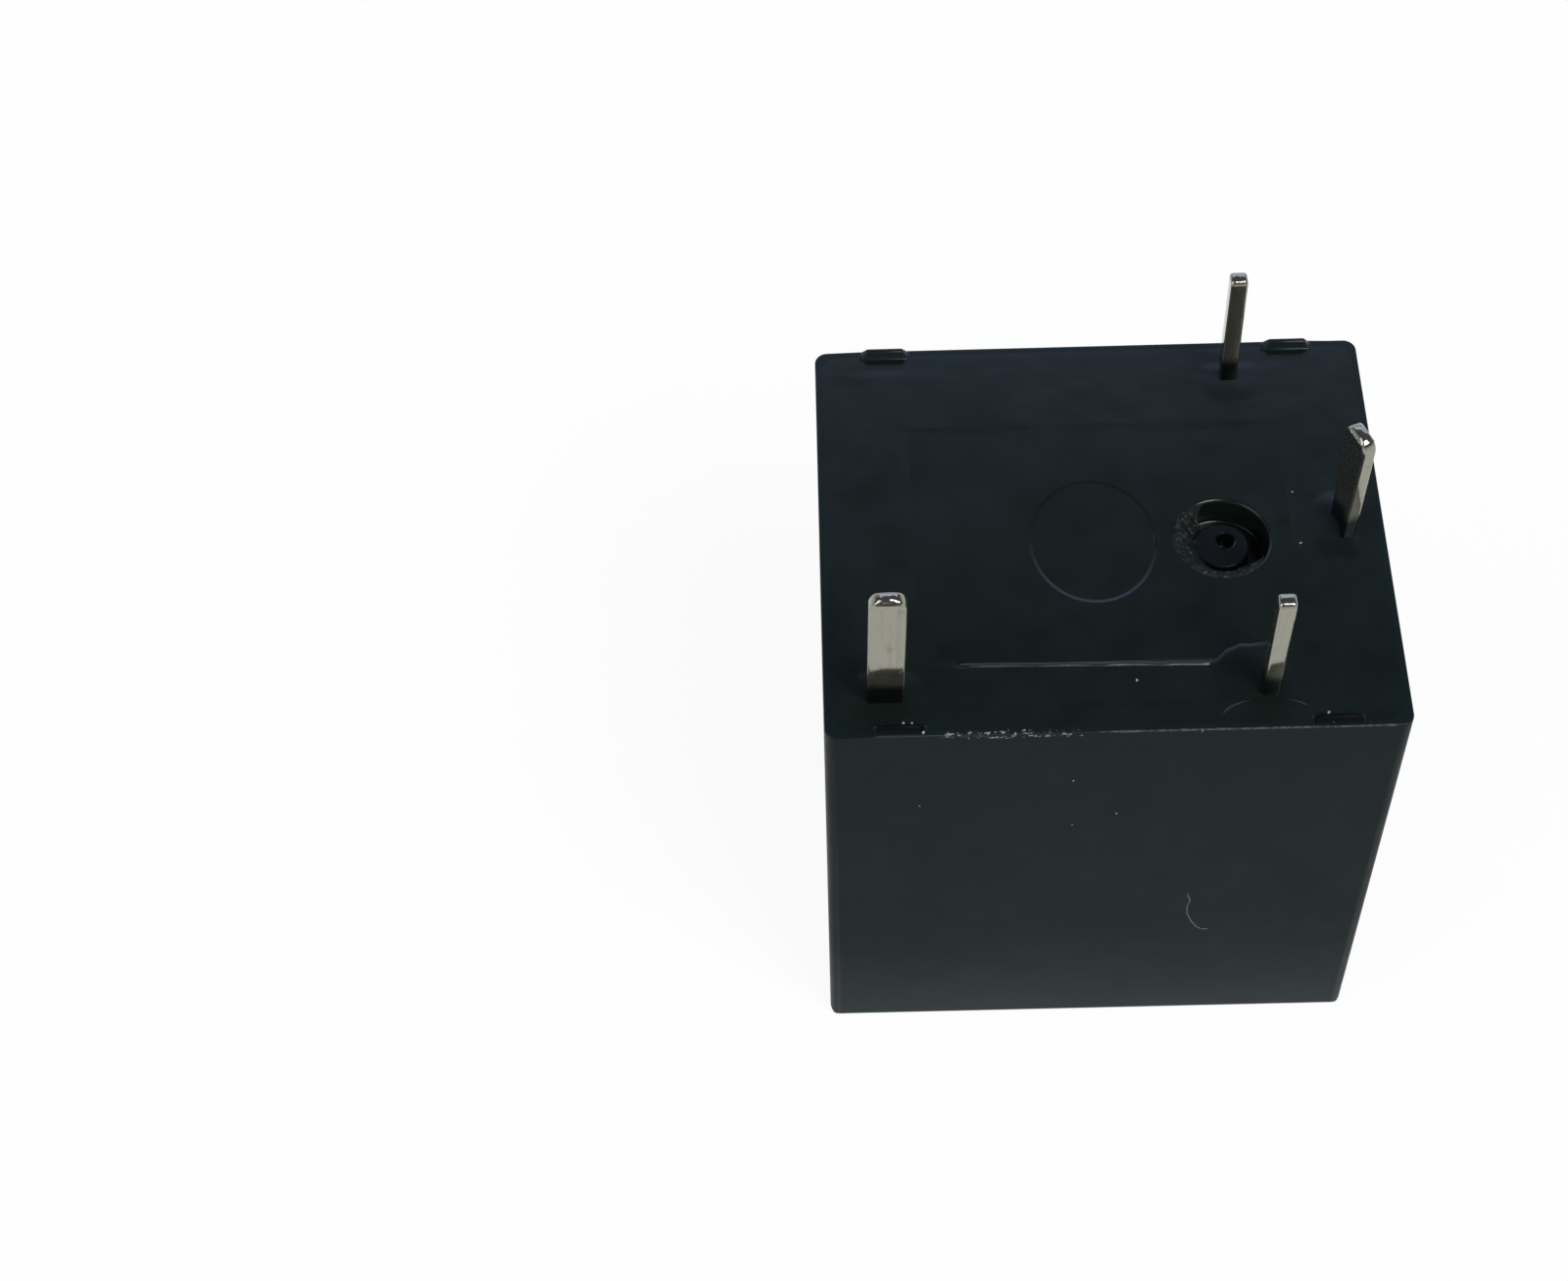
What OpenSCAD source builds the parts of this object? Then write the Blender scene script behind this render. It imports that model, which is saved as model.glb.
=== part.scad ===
// Sealed printed-circuit power relay with one make contact, lying on the closed face of its cover
// with the solder terminals up. The origin is at the middle of the closed face.

/* [Body] */
// Length of the body along X
body_l = 15.5; // [15:0.1:18]
// Width of the body along Y
body_w = 13.2; // [12.9:0.1:16]
// Height of the body from the closed face to the rim
body_h = 15.6; // [14:0.1:19]
// Thickness of the cover's side walls
cover_wall = 0.7; // [0.5:0.05:0.8]
// Thickness of the cover's closed face
cover_roof = 0.8; // [0.6:0.05:1.2]
// Radius of the cover's upright edges
corner_r = 0.35; // [0.2:0.05:0.6]
// Radius of the edges round the closed face
roof_edge_r = 0.25; // [0.2:0.05:0.6]
// Height of the standoffs above the rim
standoff_h = 0.28; // [0.15:0.01:0.5]
// Length of a standoff's flat top
standoff_l = 1; // [0.8:0.1:2]
// Length of the slope at each end of a standoff
standoff_ramp = 0.18; // [0.1:0.02:0.6]
// Reach of a standoff's flat top in from the side of the body
standoff_w = 0.35; // [0.3:0.05:0.45]
// Lean of a standoff's outer face
standoff_lean = 0.12; // [0.04:0.02:0.2]
// Run of the slope on a standoff's inner face
standoff_fall = 0.2; // [0.05:0.05:0.25]
// Distance of a standoff's middle from the end of the body
standoff_inset = 2; // [1.6:0.1:3]
// Depth of the ramped notch at one end of the closed face
notch_depth = 0.3; // [0.1:0.05:0.5]
// Length of the notch along the end
notch_l = 3.6; // [2:0.1:5]
// Reach of the notch in from the end
notch_reach = 1.4; // [0.8:0.1:2]

/* [Base] */
// Gap between the base and the cover's walls
base_fit = 0.1; // [0.05:0.01:0.15]
// Thickness of the base plate under the trough
plate_t = 1.3; // [1:0.1:1.6]
// Depth of the resin trough below the rim
trough_depth = 1; // [0.7:0.05:1.3]
// Drop of the raised panel below the rim
panel_drop = 0.01; // [0:0.01:0.15]
// Drop of the resin's surface below the rim
resin_drop = 0.12; // [0.1:0.01:0.4]
// Distance of the panel from the ends of the body
panel_end_inset = 2.3; // [2.2:0.05:3]
// Distance of the panel from the front of the body
panel_front_inset = 2.2; // [2:0.05:3]
// Distance of the panel from the back of the body
panel_back_inset = 2.9; // [2:0.05:3.2]
// Radius of the round mark on the panel
mark_r = 1.85; // [1:0.05:2]
// Depth of the round mark
mark_depth = 0.06; // [0.05:0.01:0.3]
// Gap between the round mark and the vent well
mark_gap = 0.43; // [0.2:0.01:1]
// Radius of the vent well
vent_r = 1.27; // [0.8:0.01:1.35]
// Depth of the vent well
vent_depth = 0.9; // [0.7:0.05:1.3]
// Distance of the vent well's middle from the panel's end
vent_inset = 2.16; // [1.6:0.02:2.4]
// Radius of the closed nipple in the vent well
nipple_r = 0.76; // [0.5:0.02:0.78]
// Radius of the dimple in the nipple
nipple_bore_r = 0.24; // [0.2:0.02:0.4]
// Height of the nipple
nipple_h = 0.55; // [0.2:0.05:0.65]
// Thickness of the wall between the coil and the contacts
barrier_t = 0.38; // [0.3:0.02:0.5]
// Gap between the contact strips and this wall
barrier_gap = 0.25; // [0.15:0.01:0.4]
// Height of the mound of resin round a terminal
mound_h = 0.2; // [0.1:0.05:0.5]
// Radius of the mound at its foot
mound_r = 0.95; // [0.8:0.05:1.2]
// Radius of the mound at its top
mound_top_r = 0.42; // [0.38:0.02:0.6]

/* [Terminals] */
// Length of the make blade above the rim
make_len = 4.6; // [3:0.05:6]
// Length of the other terminals above the rim
pin_len = 4.05; // [2.5:0.05:6]
// Width of the contact blades
blade_w = 1; // [0.8:0.05:1.4]
// Thickness of the contact strips and blades
blade_t = 0.4; // [0.3:0.02:0.45]
// Width of the contact strips inside the cover
strip_w = 1.8; // [1.5:0.05:1.9]
// Side of the square coil pins
coil_pin = 0.48; // [0.4:0.02:0.52]
// Distance of the coil pins from the end of the body
coil_pin_inset = 3.7; // [3.4:0.05:4.1]
// Distance of the side terminals from the sides of the body
pin_inset = 1.26; // [1.24:0.01:1.36]
// Distance of the make blade from the end of the body
make_inset = 1.6; // [1.5:0.05:2]
// Distance of the contacts from the end of the body
contact_inset = 1.8; // [1.75:0.02:1.9]
// Inner radius of the bends in the contact strips
strip_bend_r = 0.25; // [0.1:0.05:0.4]
// Width of the flat at a blade's tip
tip_flat = 0.12; // [0.06:0.02:0.4]
// Radius of the coil pins' tip corners
coil_tip_r = 0.12; // [0.05:0.01:0.18]
// Length of the bevel at a tip
tip_bevel_l = 0.14; // [0.08:0.01:0.4]
// Depth of the bevel at a tip
tip_bevel = 0.07; // [0.03:0.01:0.13]
// Clearance of a terminal in its slot
slot_fit = 0.05; // [0.02:0.01:0.08]
// Width of the common terminal's plate on the yoke
common_plate_w = 4; // [3.6:0.1:5]
// Distance of the common terminal's plate below the base
common_plate_drop = 1.2; // [0.8:0.05:1.6]

/* [Coil] */
// Radius of the iron core
core_r = 1.6; // [1.2:0.05:1.7]
// Radius of the pole head
pole_r = 2.9; // [2.2:0.1:3.6]
// Thickness of the pole head
pole_t = 0.7; // [0.5:0.05:0.9]
// Radius of the core's staked neck
neck_r = 1.2; // [0.8:0.05:1.4]
// Clearance between pieces that fit into each other
fit = 0.04; // [0.02:0.01:0.06]
// Wall of the bobbin's barrel
barrel_wall = 0.65; // [0.4:0.05:0.8]
// Gap between the bobbin's flanges and what lies in front of their ends
flange_end_gap = 0.08; // [0.05:0.01:0.2]
// Gap between the flanges and the cover's side walls
flange_side_gap = 0.7; // [0.5:0.05:1]
// Thickness of the flanges
flange_t = 0.8; // [0.5:0.05:1]
// Radius of the flanges' corners
flange_r = 0.8; // [0.3:0.1:1.5]
// Distance of the winding from the flanges' nearest edges
winding_inset = 0.25; // [0.15:0.05:0.9]
// Diameter of the wrapped lead wire
wire_d = 0.14; // [0.1:0.01:0.18]
// Turns of wire on a terminal lug
wrap_turns = 4; // [2:1:5]
// Length of the lug from the pin's middle
lug_l = 1.75; // [1.6:0.05:2]
// Height of the lug
lug_h = 0.34; // [0.26:0.02:0.4]
// Depth of the terminal bosses below the flange
boss_drop = 0.6; // [0.3:0.05:0.9]
// Wall of the bosses round the coil pins
boss_wall = 0.4; // [0.2:0.05:0.45]

/* [Magnet and contacts] */
// Thickness of the yoke
yoke_t = 1.1; // [0.8:0.05:1.2]
// Width of the yoke
yoke_w = 8; // [7.4:0.1:8.2]
// Space behind the yoke for the spring and the common terminal
yoke_back_gap = 0.63; // [0.6:0.01:0.8]
// Inner radius of the yoke's bend
yoke_bend_r = 0.3; // [0.1:0.05:0.6]
// Reach of the yoke's foot past the core's axis
foot_reach = 2.4; // [1.8:0.1:3]
// Depth of the yoke's ears beside the armature
ear_h = 0.8; // [0.4:0.05:0.9]
// Width of the ears
ear_w = 0.9; // [0.6:0.05:1]
// Depth of the space for the armature above the closed face
armature_room = 3; // [2.9:0.05:3.6]
// Thickness of the armature
armature_t = 1; // [0.8:0.05:1.1]
// Width of the armature
armature_w = 7.6; // [6.6:0.1:8.4]
// Distance of the armature's nose inside the flange's end
nose_inset = 0.85; // [0.6:0.05:1.6]
// Tilt of the armature when released, in degrees
rest_tilt = 3.5; // [2.5:0.1:3.6]
// Thickness of the contact spring
leaf_t = 0.15; // [0.1:0.01:0.2]
// Width of the contact spring at the armature
leaf_w = 5; // [4.4:0.1:5.2]
// Width of the spring's arm at the contact
arm_w = 1.9; // [1.6:0.05:2]
// Inner radius of the spring's bend at the hinge
leaf_bend_r = 0.35; // [0.25:0.01:0.4]
// Width of the window in the spring at the hinge
leaf_window_w = 2; // [1:0.1:2.6]
// Reach of this window from the hinge along the armature
leaf_window_reach = 1.8; // [1:0.1:2.2]
// Distance of the armature's stakes from the core's axis
stake_reach = 1.8; // [1.2:0.1:2]
// Height of the spring's grip on the yoke
leaf_grip = 4.4; // [3.6:0.1:4.8]
// Radius of the staked bosses
stake_r = 0.5; // [0.35:0.05:0.6]
// Radius of the bosses' flattened heads
stake_head_r = 0.75; // [0.65:0.05:0.9]
// Height of the bosses' flattened heads
stake_head_h = 0.16; // [0.1:0.01:0.18]
// Radius of the contacts' heads
contact_r = 0.88; // [0.7:0.02:0.9]
// Height of the contacts' heads
contact_h = 0.42; // [0.3:0.02:0.5]
// Radius of the contacts' shanks
contact_shank_r = 0.5; // [0.3:0.05:0.55]
// Radius of the contacts' tails
contact_tail_r = 0.66; // [0.6:0.02:0.7]
// Height of the contacts' tails
contact_tail_h = 0.15; // [0.1:0.01:0.2]
// Gap left between moving and fixed pieces at each end of the travel
travel_gap = 0.03; // [0.02:0.01:0.06]

/* [Hidden] */
$fn = 64;
// Length by which a cutter or a joined solid runs past the face it meets
over = 0.2;

// Inside of the cover
inner_l = body_l - 2 * cover_wall;
inner_w = body_w - 2 * cover_wall;
inner_corner_r = 0.3;

// Heights, from the closed face up to the terminals' tips
rim_z = body_h;
make_tip_z = rim_z + make_len;
pin_tip_z = rim_z + pin_len;
panel_z = rim_z - panel_drop;
resin_z = rim_z - resin_drop;
trough_z = rim_z - trough_depth;
plate_z = trough_z - plate_t;
foot_z = plate_z - yoke_t;
base_flange_z = foot_z - flange_t;
pole_z = cover_roof + armature_room;
pole_flange_z = pole_z + pole_t;
winding_z = pole_flange_z + flange_t;
leaf_z = pole_z - armature_t;

// Places along X: the yoke stands at one end, the contacts at the other, the bobbin between them
hinge_x = inner_l / 2 - yoke_back_gap;
yoke_x = hinge_x - yoke_t;
contact_x = contact_inset - body_l / 2;
make_x = make_inset - body_l / 2;
barrier_x = contact_x + strip_w / 2 + barrier_gap;
flange_l = yoke_x - barrier_x - barrier_t - 2 * flange_end_gap;
flange_w = inner_w - 2 * flange_side_gap;
coil_x = yoke_x - flange_end_gap - flange_l / 2;
coil_pin_x = body_l / 2 - coil_pin_inset;
winding_r = min(flange_l, flange_w) / 2 - winding_inset;

// Places along Y of the front and rear rows of terminals, and the round corners of the blades' tips
row_y = body_w / 2 - pin_inset;
blade_tip_r = (blade_w - tip_flat) / 2;

// Raised panel of the base
panel_l = body_l - 2 * panel_end_inset;
panel_w = body_w - panel_front_inset - panel_back_inset;
panel_y = (panel_front_inset - panel_back_inset) / 2;
panel_r = 0.4;
vent_x = panel_l / 2 - vent_inset;
mark_x = vent_x - vent_r - mark_gap - mark_r;

// Contact strips: the fixed contact just meets the moving one when the armature is closed, and the
// moving contact's tail rests just above the back stop when it is released
fixed_face_z = leaf_z + contact_h + travel_gap;
fixed_tab_z = fixed_face_z + contact_h;
tail_drop = armature_t + leaf_t + contact_tail_h;
tail_reach = hinge_x - contact_x + contact_tail_r;
stop_z = pole_z - tail_reach * sin(rest_tilt) - tail_drop * cos(rest_tilt) - travel_gap;

// Contact spring: the bend round the hinge edge is tangent to the yoke's back and to the released armature
leaf_bend_z = pole_z - (armature_t - leaf_bend_r * (1 - sin(rest_tilt))) / cos(rest_tilt);
leaf_bend_steps = 8;
leaf_top_z = pole_z + leaf_grip;
leaf_window_rise = 1;
yoke_stake_rise = 0.4;
leaf_window_x = hinge_x - leaf_window_reach;
arm_taper_l = 1;
yoke_stake_z = pole_z + leaf_grip / 2 + yoke_stake_rise;
yoke_stake_y = 1.6;
armature_stake_x = coil_x + stake_reach;
armature_stake_y = 1.6;

// Armature: a tongue between the yoke's ears, and shoulders that stay clear of the yoke
ear_gap = 0.15;
heel_gap = 0.4;
shoulder_gap = 0.2;
tongue_w = yoke_w - 2 * ear_w - 2 * ear_gap;
tongue_end_x = hinge_x - heel_gap;
shoulder_x = yoke_x - shoulder_gap;
nose_x = coil_x - flange_l / 2 + nose_inset;
nose_taper = 1.2;
heel_chamfer = 0.25;

// Common terminal
common_x = hinge_x + blade_t / 2;
common_leaf_gap = 0.4;
common_plate_z = leaf_top_z + common_leaf_gap;
common_plate_h = plate_z - common_plate_drop - common_plate_z;
common_stake_z = common_plate_z + common_plate_h / 2;
common_stake_y = 1.1;

// Coil terminals and leads
boss_z = base_flange_z - boss_drop;
lug_z = boss_z - lug_h;
lug_mid_z = lug_z + lug_h / 2;
wrap_sink = 0.011;
wrap_pitch = wire_d - wrap_sink;
wrap_r = norm([coil_pin, lug_h]) / 2 + fit + wire_d / 2;
wrap_end_gap = 0.2;
wrap_x = coil_pin_x - lug_l + wrap_end_gap;
lead_x = wrap_x + wrap_pitch * (wrap_turns - 1) / 2;
lead_end_y = sqrt(pow(winding_r, 2) - pow(lead_x - coil_x - wire_d / 2, 2)) + fit / 2;

plastic_black = [0.11, 0.13, 0.14];
resin_black = [0.08, 0.09, 0.1];
tinned = [0.66, 0.65, 0.6];
iron = [0.55, 0.56, 0.58];
copper = [0.72, 0.38, 0.2];
bronze = [0.76, 0.55, 0.32];
silver = [0.82, 0.82, 0.8];
bobbin_white = [0.86, 0.84, 0.78];

// Draws a flat shape in the XZ plane and gives it a thickness along Y
module along_y(w) {
  rotate([90, 0, 0]) linear_extrude(w, center = true) children();
}

// Draws a flat shape in the YZ plane and gives it a thickness along X
module along_x(w) {
  rotate([90, 0, 90]) linear_extrude(w, center = true) children();
}

// Rectangle with round corners, about its middle
module rounded_rect(l, w, r) {
  square([l - 2 * r, w], center = true);
  square([l, w - 2 * r], center = true);
  for (sx = [-1, 1], sy = [-1, 1]) {
    translate([sx * (l / 2 - r), sy * (w / 2 - r)]) circle(r);
  }
}

// Box with round upright edges and a round edge all round its lower face
module round_box(l, w, h, side_r, end_r) {
  intersection() {
    linear_extrude(h) rounded_rect(l, w, side_r);
    translate([0, 0, h]) along_y(w + over) rounded_rect(l, 2 * h, end_r);
    translate([0, 0, h]) along_x(l + over) rounded_rect(w, 2 * h, end_r);
  }
}

// Rectangle from the origin with only the corner at the origin round
module one_round_corner(a, b, r) {
  translate([r, 0]) square([a - r, b]);
  translate([0, r]) square([a, b - r]);
  translate([r, r]) circle(r);
}

// Section of a bent strip, with its outer corner at the origin
module angle_section(a, b, t, r) {
  difference() {
    one_round_corner(a, b, r + t);
    translate([t, t]) one_round_corner(a, b, r);
  }
}

// Upright blade from z = 0 to a tip with round corners, bevelled on both faces; its width lies along X
module blade(w, t, h, tip_r) {
  intersection() {
    along_y(t + over) {
      translate([-w / 2, 0]) square([w, h - tip_r]);
      translate([tip_r - w / 2, 0]) square([w - 2 * tip_r, h]);
      for (s = [-1, 1]) translate([s * (w / 2 - tip_r), h - tip_r]) circle(tip_r);
    }
    along_x(w + over) polygon([
      [-t / 2, 0],
      [t / 2, 0],
      [t / 2, h - tip_bevel_l],
      [t / 2 - tip_bevel, h],
      [tip_bevel - t / 2, h],
      [-t / 2, h - tip_bevel_l],
    ]);
  }
}

// Contact rivet: the head lies above z = 0, the shank fills the strip's thickness and the tail lies below
module contact_rivet(strip_t) {
  edge = 0.12;
  rotate_extrude() polygon([
    [0, -strip_t - contact_tail_h],
    [contact_tail_r, -strip_t - contact_tail_h],
    [contact_tail_r, -strip_t],
    [contact_shank_r, -strip_t],
    [contact_shank_r, 0],
    [contact_r, 0],
    [contact_r, contact_h - edge],
    [contact_r - edge, contact_h],
    [0, contact_h],
  ]);
}

// Staked boss: a shank through a strip of the given thickness, with a flattened head
module stake(strip_t) {
  translate([0, 0, -over]) cylinder(r = stake_r, h = strip_t + 2 * over);
  translate([0, 0, strip_t]) cylinder(r = stake_head_r, h = stake_head_h);
}

// Turns what is drawn for the closed armature to where it lies when released
module released() {
  translate([hinge_x, 0, pole_z]) rotate([0, -rest_tilt, 0]) translate([-hinge_x, 0, -pole_z]) children();
}

// Where a point of the closed armature's XZ plane lies when released
function released_point(x, z) = [
  hinge_x + (x - hinge_x) * cos(rest_tilt) - (z - pole_z) * sin(rest_tilt),
  pole_z + (x - hinge_x) * sin(rest_tilt) + (z - pole_z) * cos(rest_tilt),
];

// Points of the contact spring's bend on one of its faces, from the yoke's back to the armature
function leaf_bend(r) = [
  for (i = [0:leaf_bend_steps])
    let (a = i * (90 - rest_tilt) / leaf_bend_steps)
      [hinge_x - leaf_bend_r + r * cos(a), leaf_bend_z - r * sin(a)]
];

function reversed(points) = [for (i = [len(points) - 1:-1:0]) points[i]];

// Places what is drawn once at both places that lie across the Y axis
module pair_y(y) {
  for (s = [-1, 1]) translate([0, s * y, 0]) children();
}

// Plan of every terminal where it passes through the base and the resin, grown by a clearance
module terminal_plan(grow) {
  translate([make_x, -row_y]) square([blade_w + 2 * grow, blade_t + 2 * grow], center = true);
  translate([common_x, 0]) square([blade_t + 2 * grow, blade_w + 2 * grow], center = true);
  for (s = [-1, 1]) translate([coil_pin_x, s * row_y]) square(coil_pin + 2 * grow, center = true);
}

// Raised panel of the base, up to the given height
module panel(z) {
  translate([0, panel_y, trough_z - over]) {
    linear_extrude(z - trough_z + over) rounded_rect(panel_l, panel_w, panel_r);
  }
}

// Standoff on the front rim, with its outer face from y = 0: all its sides slope
module standoff() {
  half = standoff_l / 2;
  foot_w = standoff_w + standoff_fall;
  intersection() {
    translate([0, foot_w / 2, 0]) along_y(foot_w) polygon([
      [-half - standoff_ramp, -over],
      [half + standoff_ramp, -over],
      [half + standoff_ramp, 0],
      [half, standoff_h],
      [-half, standoff_h],
      [-half - standoff_ramp, 0],
    ]);
    along_x(standoff_l + 2 * standoff_ramp + over) polygon([
      [0, -over],
      [foot_w, -over],
      [foot_w, 0],
      [standoff_w, standoff_h],
      [standoff_lean, standoff_h],
      [0, 0],
    ]);
  }
}

module cover() {
  standoff_x = body_l / 2 - standoff_inset;
  color(plastic_black) {
    difference() {
      round_box(body_l, body_w, body_h, corner_r, roof_edge_r);
      translate([0, 0, cover_roof]) {
        round_box(inner_l, inner_w, body_h, inner_corner_r, inner_corner_r);
      }
      translate([body_l / 2 - notch_reach / 2, 0, 0]) along_x(notch_reach) {
        polygon([[-notch_l / 2, 0], [notch_l / 2, 0], [notch_l / 2, notch_depth]]);
      }
    }
    for (x = [-standoff_x, standoff_x], turn = [0, 180]) {
      rotate([0, 0, turn]) translate([x, -body_w / 2, rim_z]) standoff();
    }
  }
}

module base() {
  rib_l = 6;
  rib_h = 0.8;
  rib_t = 0.5;
  pocket_depth = 0.8;
  base_l = inner_l - 2 * base_fit;
  base_w = inner_w - 2 * base_fit;
  barrier_h = plate_z - pole_flange_z + over;
  barrier_w = inner_w - 2 * base_fit;
  color(plastic_black) difference() {
    union() {
      translate([0, 0, plate_z]) linear_extrude(plate_t) rounded_rect(base_l, base_w, inner_corner_r);
      panel(panel_z);
      translate([barrier_x, -barrier_w / 2, pole_flange_z]) cube([barrier_t, barrier_w, barrier_h]);
      pair_y(yoke_w / 2 + fit + rib_t / 2) {
        translate([coil_x - rib_l / 2, -rib_t / 2, plate_z - rib_h]) cube([rib_l, rib_t, rib_h + over]);
      }
    }
    translate([0, 0, plate_z - over]) linear_extrude(plate_t + 2 * over) terminal_plan(slot_fit);
    translate([common_x, -blade_w / 2 - slot_fit, plate_z - over]) {
      cube([body_l / 2 - common_x, blade_w + 2 * slot_fit, plate_t + 2 * over]);
    }
    translate([contact_x, row_y, plate_z + pocket_depth / 2 - over / 2]) {
      cube([blade_w + 2 * slot_fit, blade_t + 2 * slot_fit, pocket_depth + over], center = true);
    }
    translate([mark_x, panel_y, panel_z - mark_depth]) cylinder(r = mark_r, h = mark_depth + over);
    translate([vent_x, panel_y, panel_z - vent_depth]) difference() {
      cylinder(r = vent_r, h = vent_depth + over);
      difference() {
        translate([0, 0, -over]) cylinder(r = nipple_r, h = nipple_h + over);
        cylinder(r = nipple_bore_r, h = nipple_h + over);
      }
    }
  }
}

module sealing_resin() {
  color(resin_black) difference() {
    intersection() {
      translate([0, 0, trough_z]) linear_extrude(trough_depth + mound_h) {
        rounded_rect(inner_l, inner_w, inner_corner_r);
      }
      union() {
        translate([0, 0, trough_z - over]) linear_extrude(resin_z - trough_z + over) {
          square([body_l, body_w], center = true);
        }
        for (p = [[make_x, -row_y], [common_x, 0], [coil_pin_x, -row_y], [coil_pin_x, row_y]]) {
          translate([p[0], p[1], resin_z]) cylinder(r1 = mound_r, r2 = mound_top_r, h = mound_h);
        }
      }
    }
    panel(rim_z + mound_h + over);
    translate([0, 0, trough_z - over]) linear_extrude(make_tip_z - trough_z) terminal_plan(0);
  }
}

// Bent strip inside the cover: an upright leg beside the cover's wall and a flat tab that ends round
// under the contacts. The tab's lower face is at z, and the leg is at the front.
module contact_strip(z) {
  base_gap = 0.2;
  leg_h = plate_z - z - base_gap;
  tab_l = row_y + blade_t / 2;
  translate([contact_x, -tab_l, z]) along_x(strip_w) angle_section(tab_l, leg_h, blade_t, strip_bend_r);
  translate([contact_x, 0, z]) cylinder(r = strip_w / 2, h = blade_t);
}

module normally_open_terminal() {
  blade_root = 1;
  blade_z = plate_z - blade_root;
  color(tinned) difference() {
    union() {
      contact_strip(fixed_tab_z);
      translate([make_x, -row_y, blade_z]) blade(blade_w, blade_t, make_tip_z - blade_z, blade_tip_r);
    }
    translate([contact_x, 0, fixed_tab_z - over]) cylinder(r = contact_shank_r + fit, h = blade_t + 2 * over);
  }
}

module back_stop() {
  tail_root = 0.8;
  tail_h = 1.2;
  color(tinned) mirror([0, 1, 0]) {
    contact_strip(stop_z - blade_t);
    translate([contact_x - blade_w / 2, -row_y - blade_t / 2, plate_z - tail_root]) {
      cube([blade_w, blade_t, tail_h]);
    }
  }
}

module common_terminal() {
  blade_z = common_plate_z + common_plate_h - over;
  color(tinned) difference() {
    union() {
      translate([hinge_x, -common_plate_w / 2, common_plate_z]) {
        cube([blade_t, common_plate_w, common_plate_h]);
      }
      translate([common_x, 0, blade_z]) rotate([0, 0, 90]) {
        blade(blade_w, blade_t, pin_tip_z - blade_z, blade_tip_r);
      }
    }
    pair_y(common_stake_y) translate([hinge_x - over, 0, common_stake_z]) rotate([0, 90, 0]) {
      cylinder(r = stake_r + fit, h = blade_t + 2 * over);
    }
  }
}

// Coil pin at the front, with the lug below its boss
module coil_terminal() {
  translate([coil_pin_x, -row_y, lug_z]) blade(coil_pin, coil_pin, pin_tip_z - lug_z, coil_tip_r);
  translate([coil_pin_x - lug_l, -row_y - coil_pin / 2, lug_z]) cube([lug_l, coil_pin, lug_h]);
}

module coil_terminal_front() {
  color(tinned) coil_terminal();
}

module coil_terminal_rear() {
  color(tinned) mirror([0, 1, 0]) coil_terminal();
}

// Turns of wire round the front lug and the straight end that runs to the winding
module coil_lead() {
  translate([wrap_x, -row_y, lug_mid_z]) rotate([0, 90, 0]) rotate_extrude() {
    for (i = [0:wrap_turns - 1]) translate([wrap_r, i * wrap_pitch]) circle(d = wire_d, $fn = 24);
  }
  translate([lead_x, -lead_end_y, lug_mid_z]) rotate([90, 0, 0]) {
    cylinder(d = wire_d, h = row_y - wrap_r - lead_end_y, $fn = 24);
  }
}

module coil_lead_front() {
  color(copper) coil_lead();
}

module coil_lead_rear() {
  color(copper) mirror([0, 1, 0]) coil_lead();
}

module bobbin() {
  boss_l = coil_pin + 2 * slot_fit + 2 * boss_wall;
  boss_end_wall = 0.1;
  boss_y = row_y + coil_pin / 2 + slot_fit + boss_end_wall;
  boss_in_y = row_y - coil_pin / 2 - slot_fit - boss_wall;
  barrel_r = core_r + fit + barrel_wall;
  bend_relief = yoke_bend_r + fit;
  color(bobbin_white) difference() {
    union() {
      translate([coil_x, 0, pole_flange_z]) {
        linear_extrude(flange_t) rounded_rect(flange_l, flange_w, flange_r);
        cylinder(r = barrel_r, h = foot_z - pole_flange_z);
      }
      translate([coil_x, 0, base_flange_z]) {
        linear_extrude(flange_t) rounded_rect(flange_l, flange_w, flange_r);
      }
      for (s = [-1, 1]) {
        translate([coil_pin_x, s * (boss_y + boss_in_y) / 2, (boss_z + foot_z) / 2]) {
          cube([boss_l, boss_y - boss_in_y, foot_z - boss_z], center = true);
        }
      }
    }
    translate([coil_x, 0, pole_flange_z - over]) {
      cylinder(r = core_r + fit, h = foot_z - pole_flange_z + 2 * over);
    }
    pair_y(row_y) translate([coil_pin_x, 0, boss_z - over]) linear_extrude(foot_z - boss_z + 2 * over) {
      square(coil_pin + 2 * slot_fit, center = true);
    }
    translate([yoke_x, 0, foot_z]) along_y(flange_w + over) {
      polygon([[-bend_relief, 0], [0, -bend_relief], [over, over], [-bend_relief, over]]);
    }
  }
}

module coil_winding() {
  edge = 0.3;
  inner_r = core_r + barrel_wall + 2 * fit;
  h = base_flange_z - winding_z;
  color(copper) translate([coil_x, 0, winding_z]) rotate_extrude() polygon([
    [inner_r, 0],
    [winding_r - edge, 0],
    [winding_r, edge],
    [winding_r, h - edge],
    [winding_r - edge, h],
    [inner_r, h],
  ]);
}

module core() {
  stake_edge = 0.15;
  color(iron) translate([coil_x, 0, 0]) rotate_extrude() polygon([
    [0, pole_z],
    [pole_r - stake_edge, pole_z],
    [pole_r, pole_z + stake_edge],
    [pole_r, pole_flange_z],
    [core_r, pole_flange_z],
    [core_r, foot_z],
    [neck_r, foot_z],
    [neck_r, plate_z - stake_edge],
    [neck_r - stake_edge, plate_z],
    [0, plate_z],
  ]);
}

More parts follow.
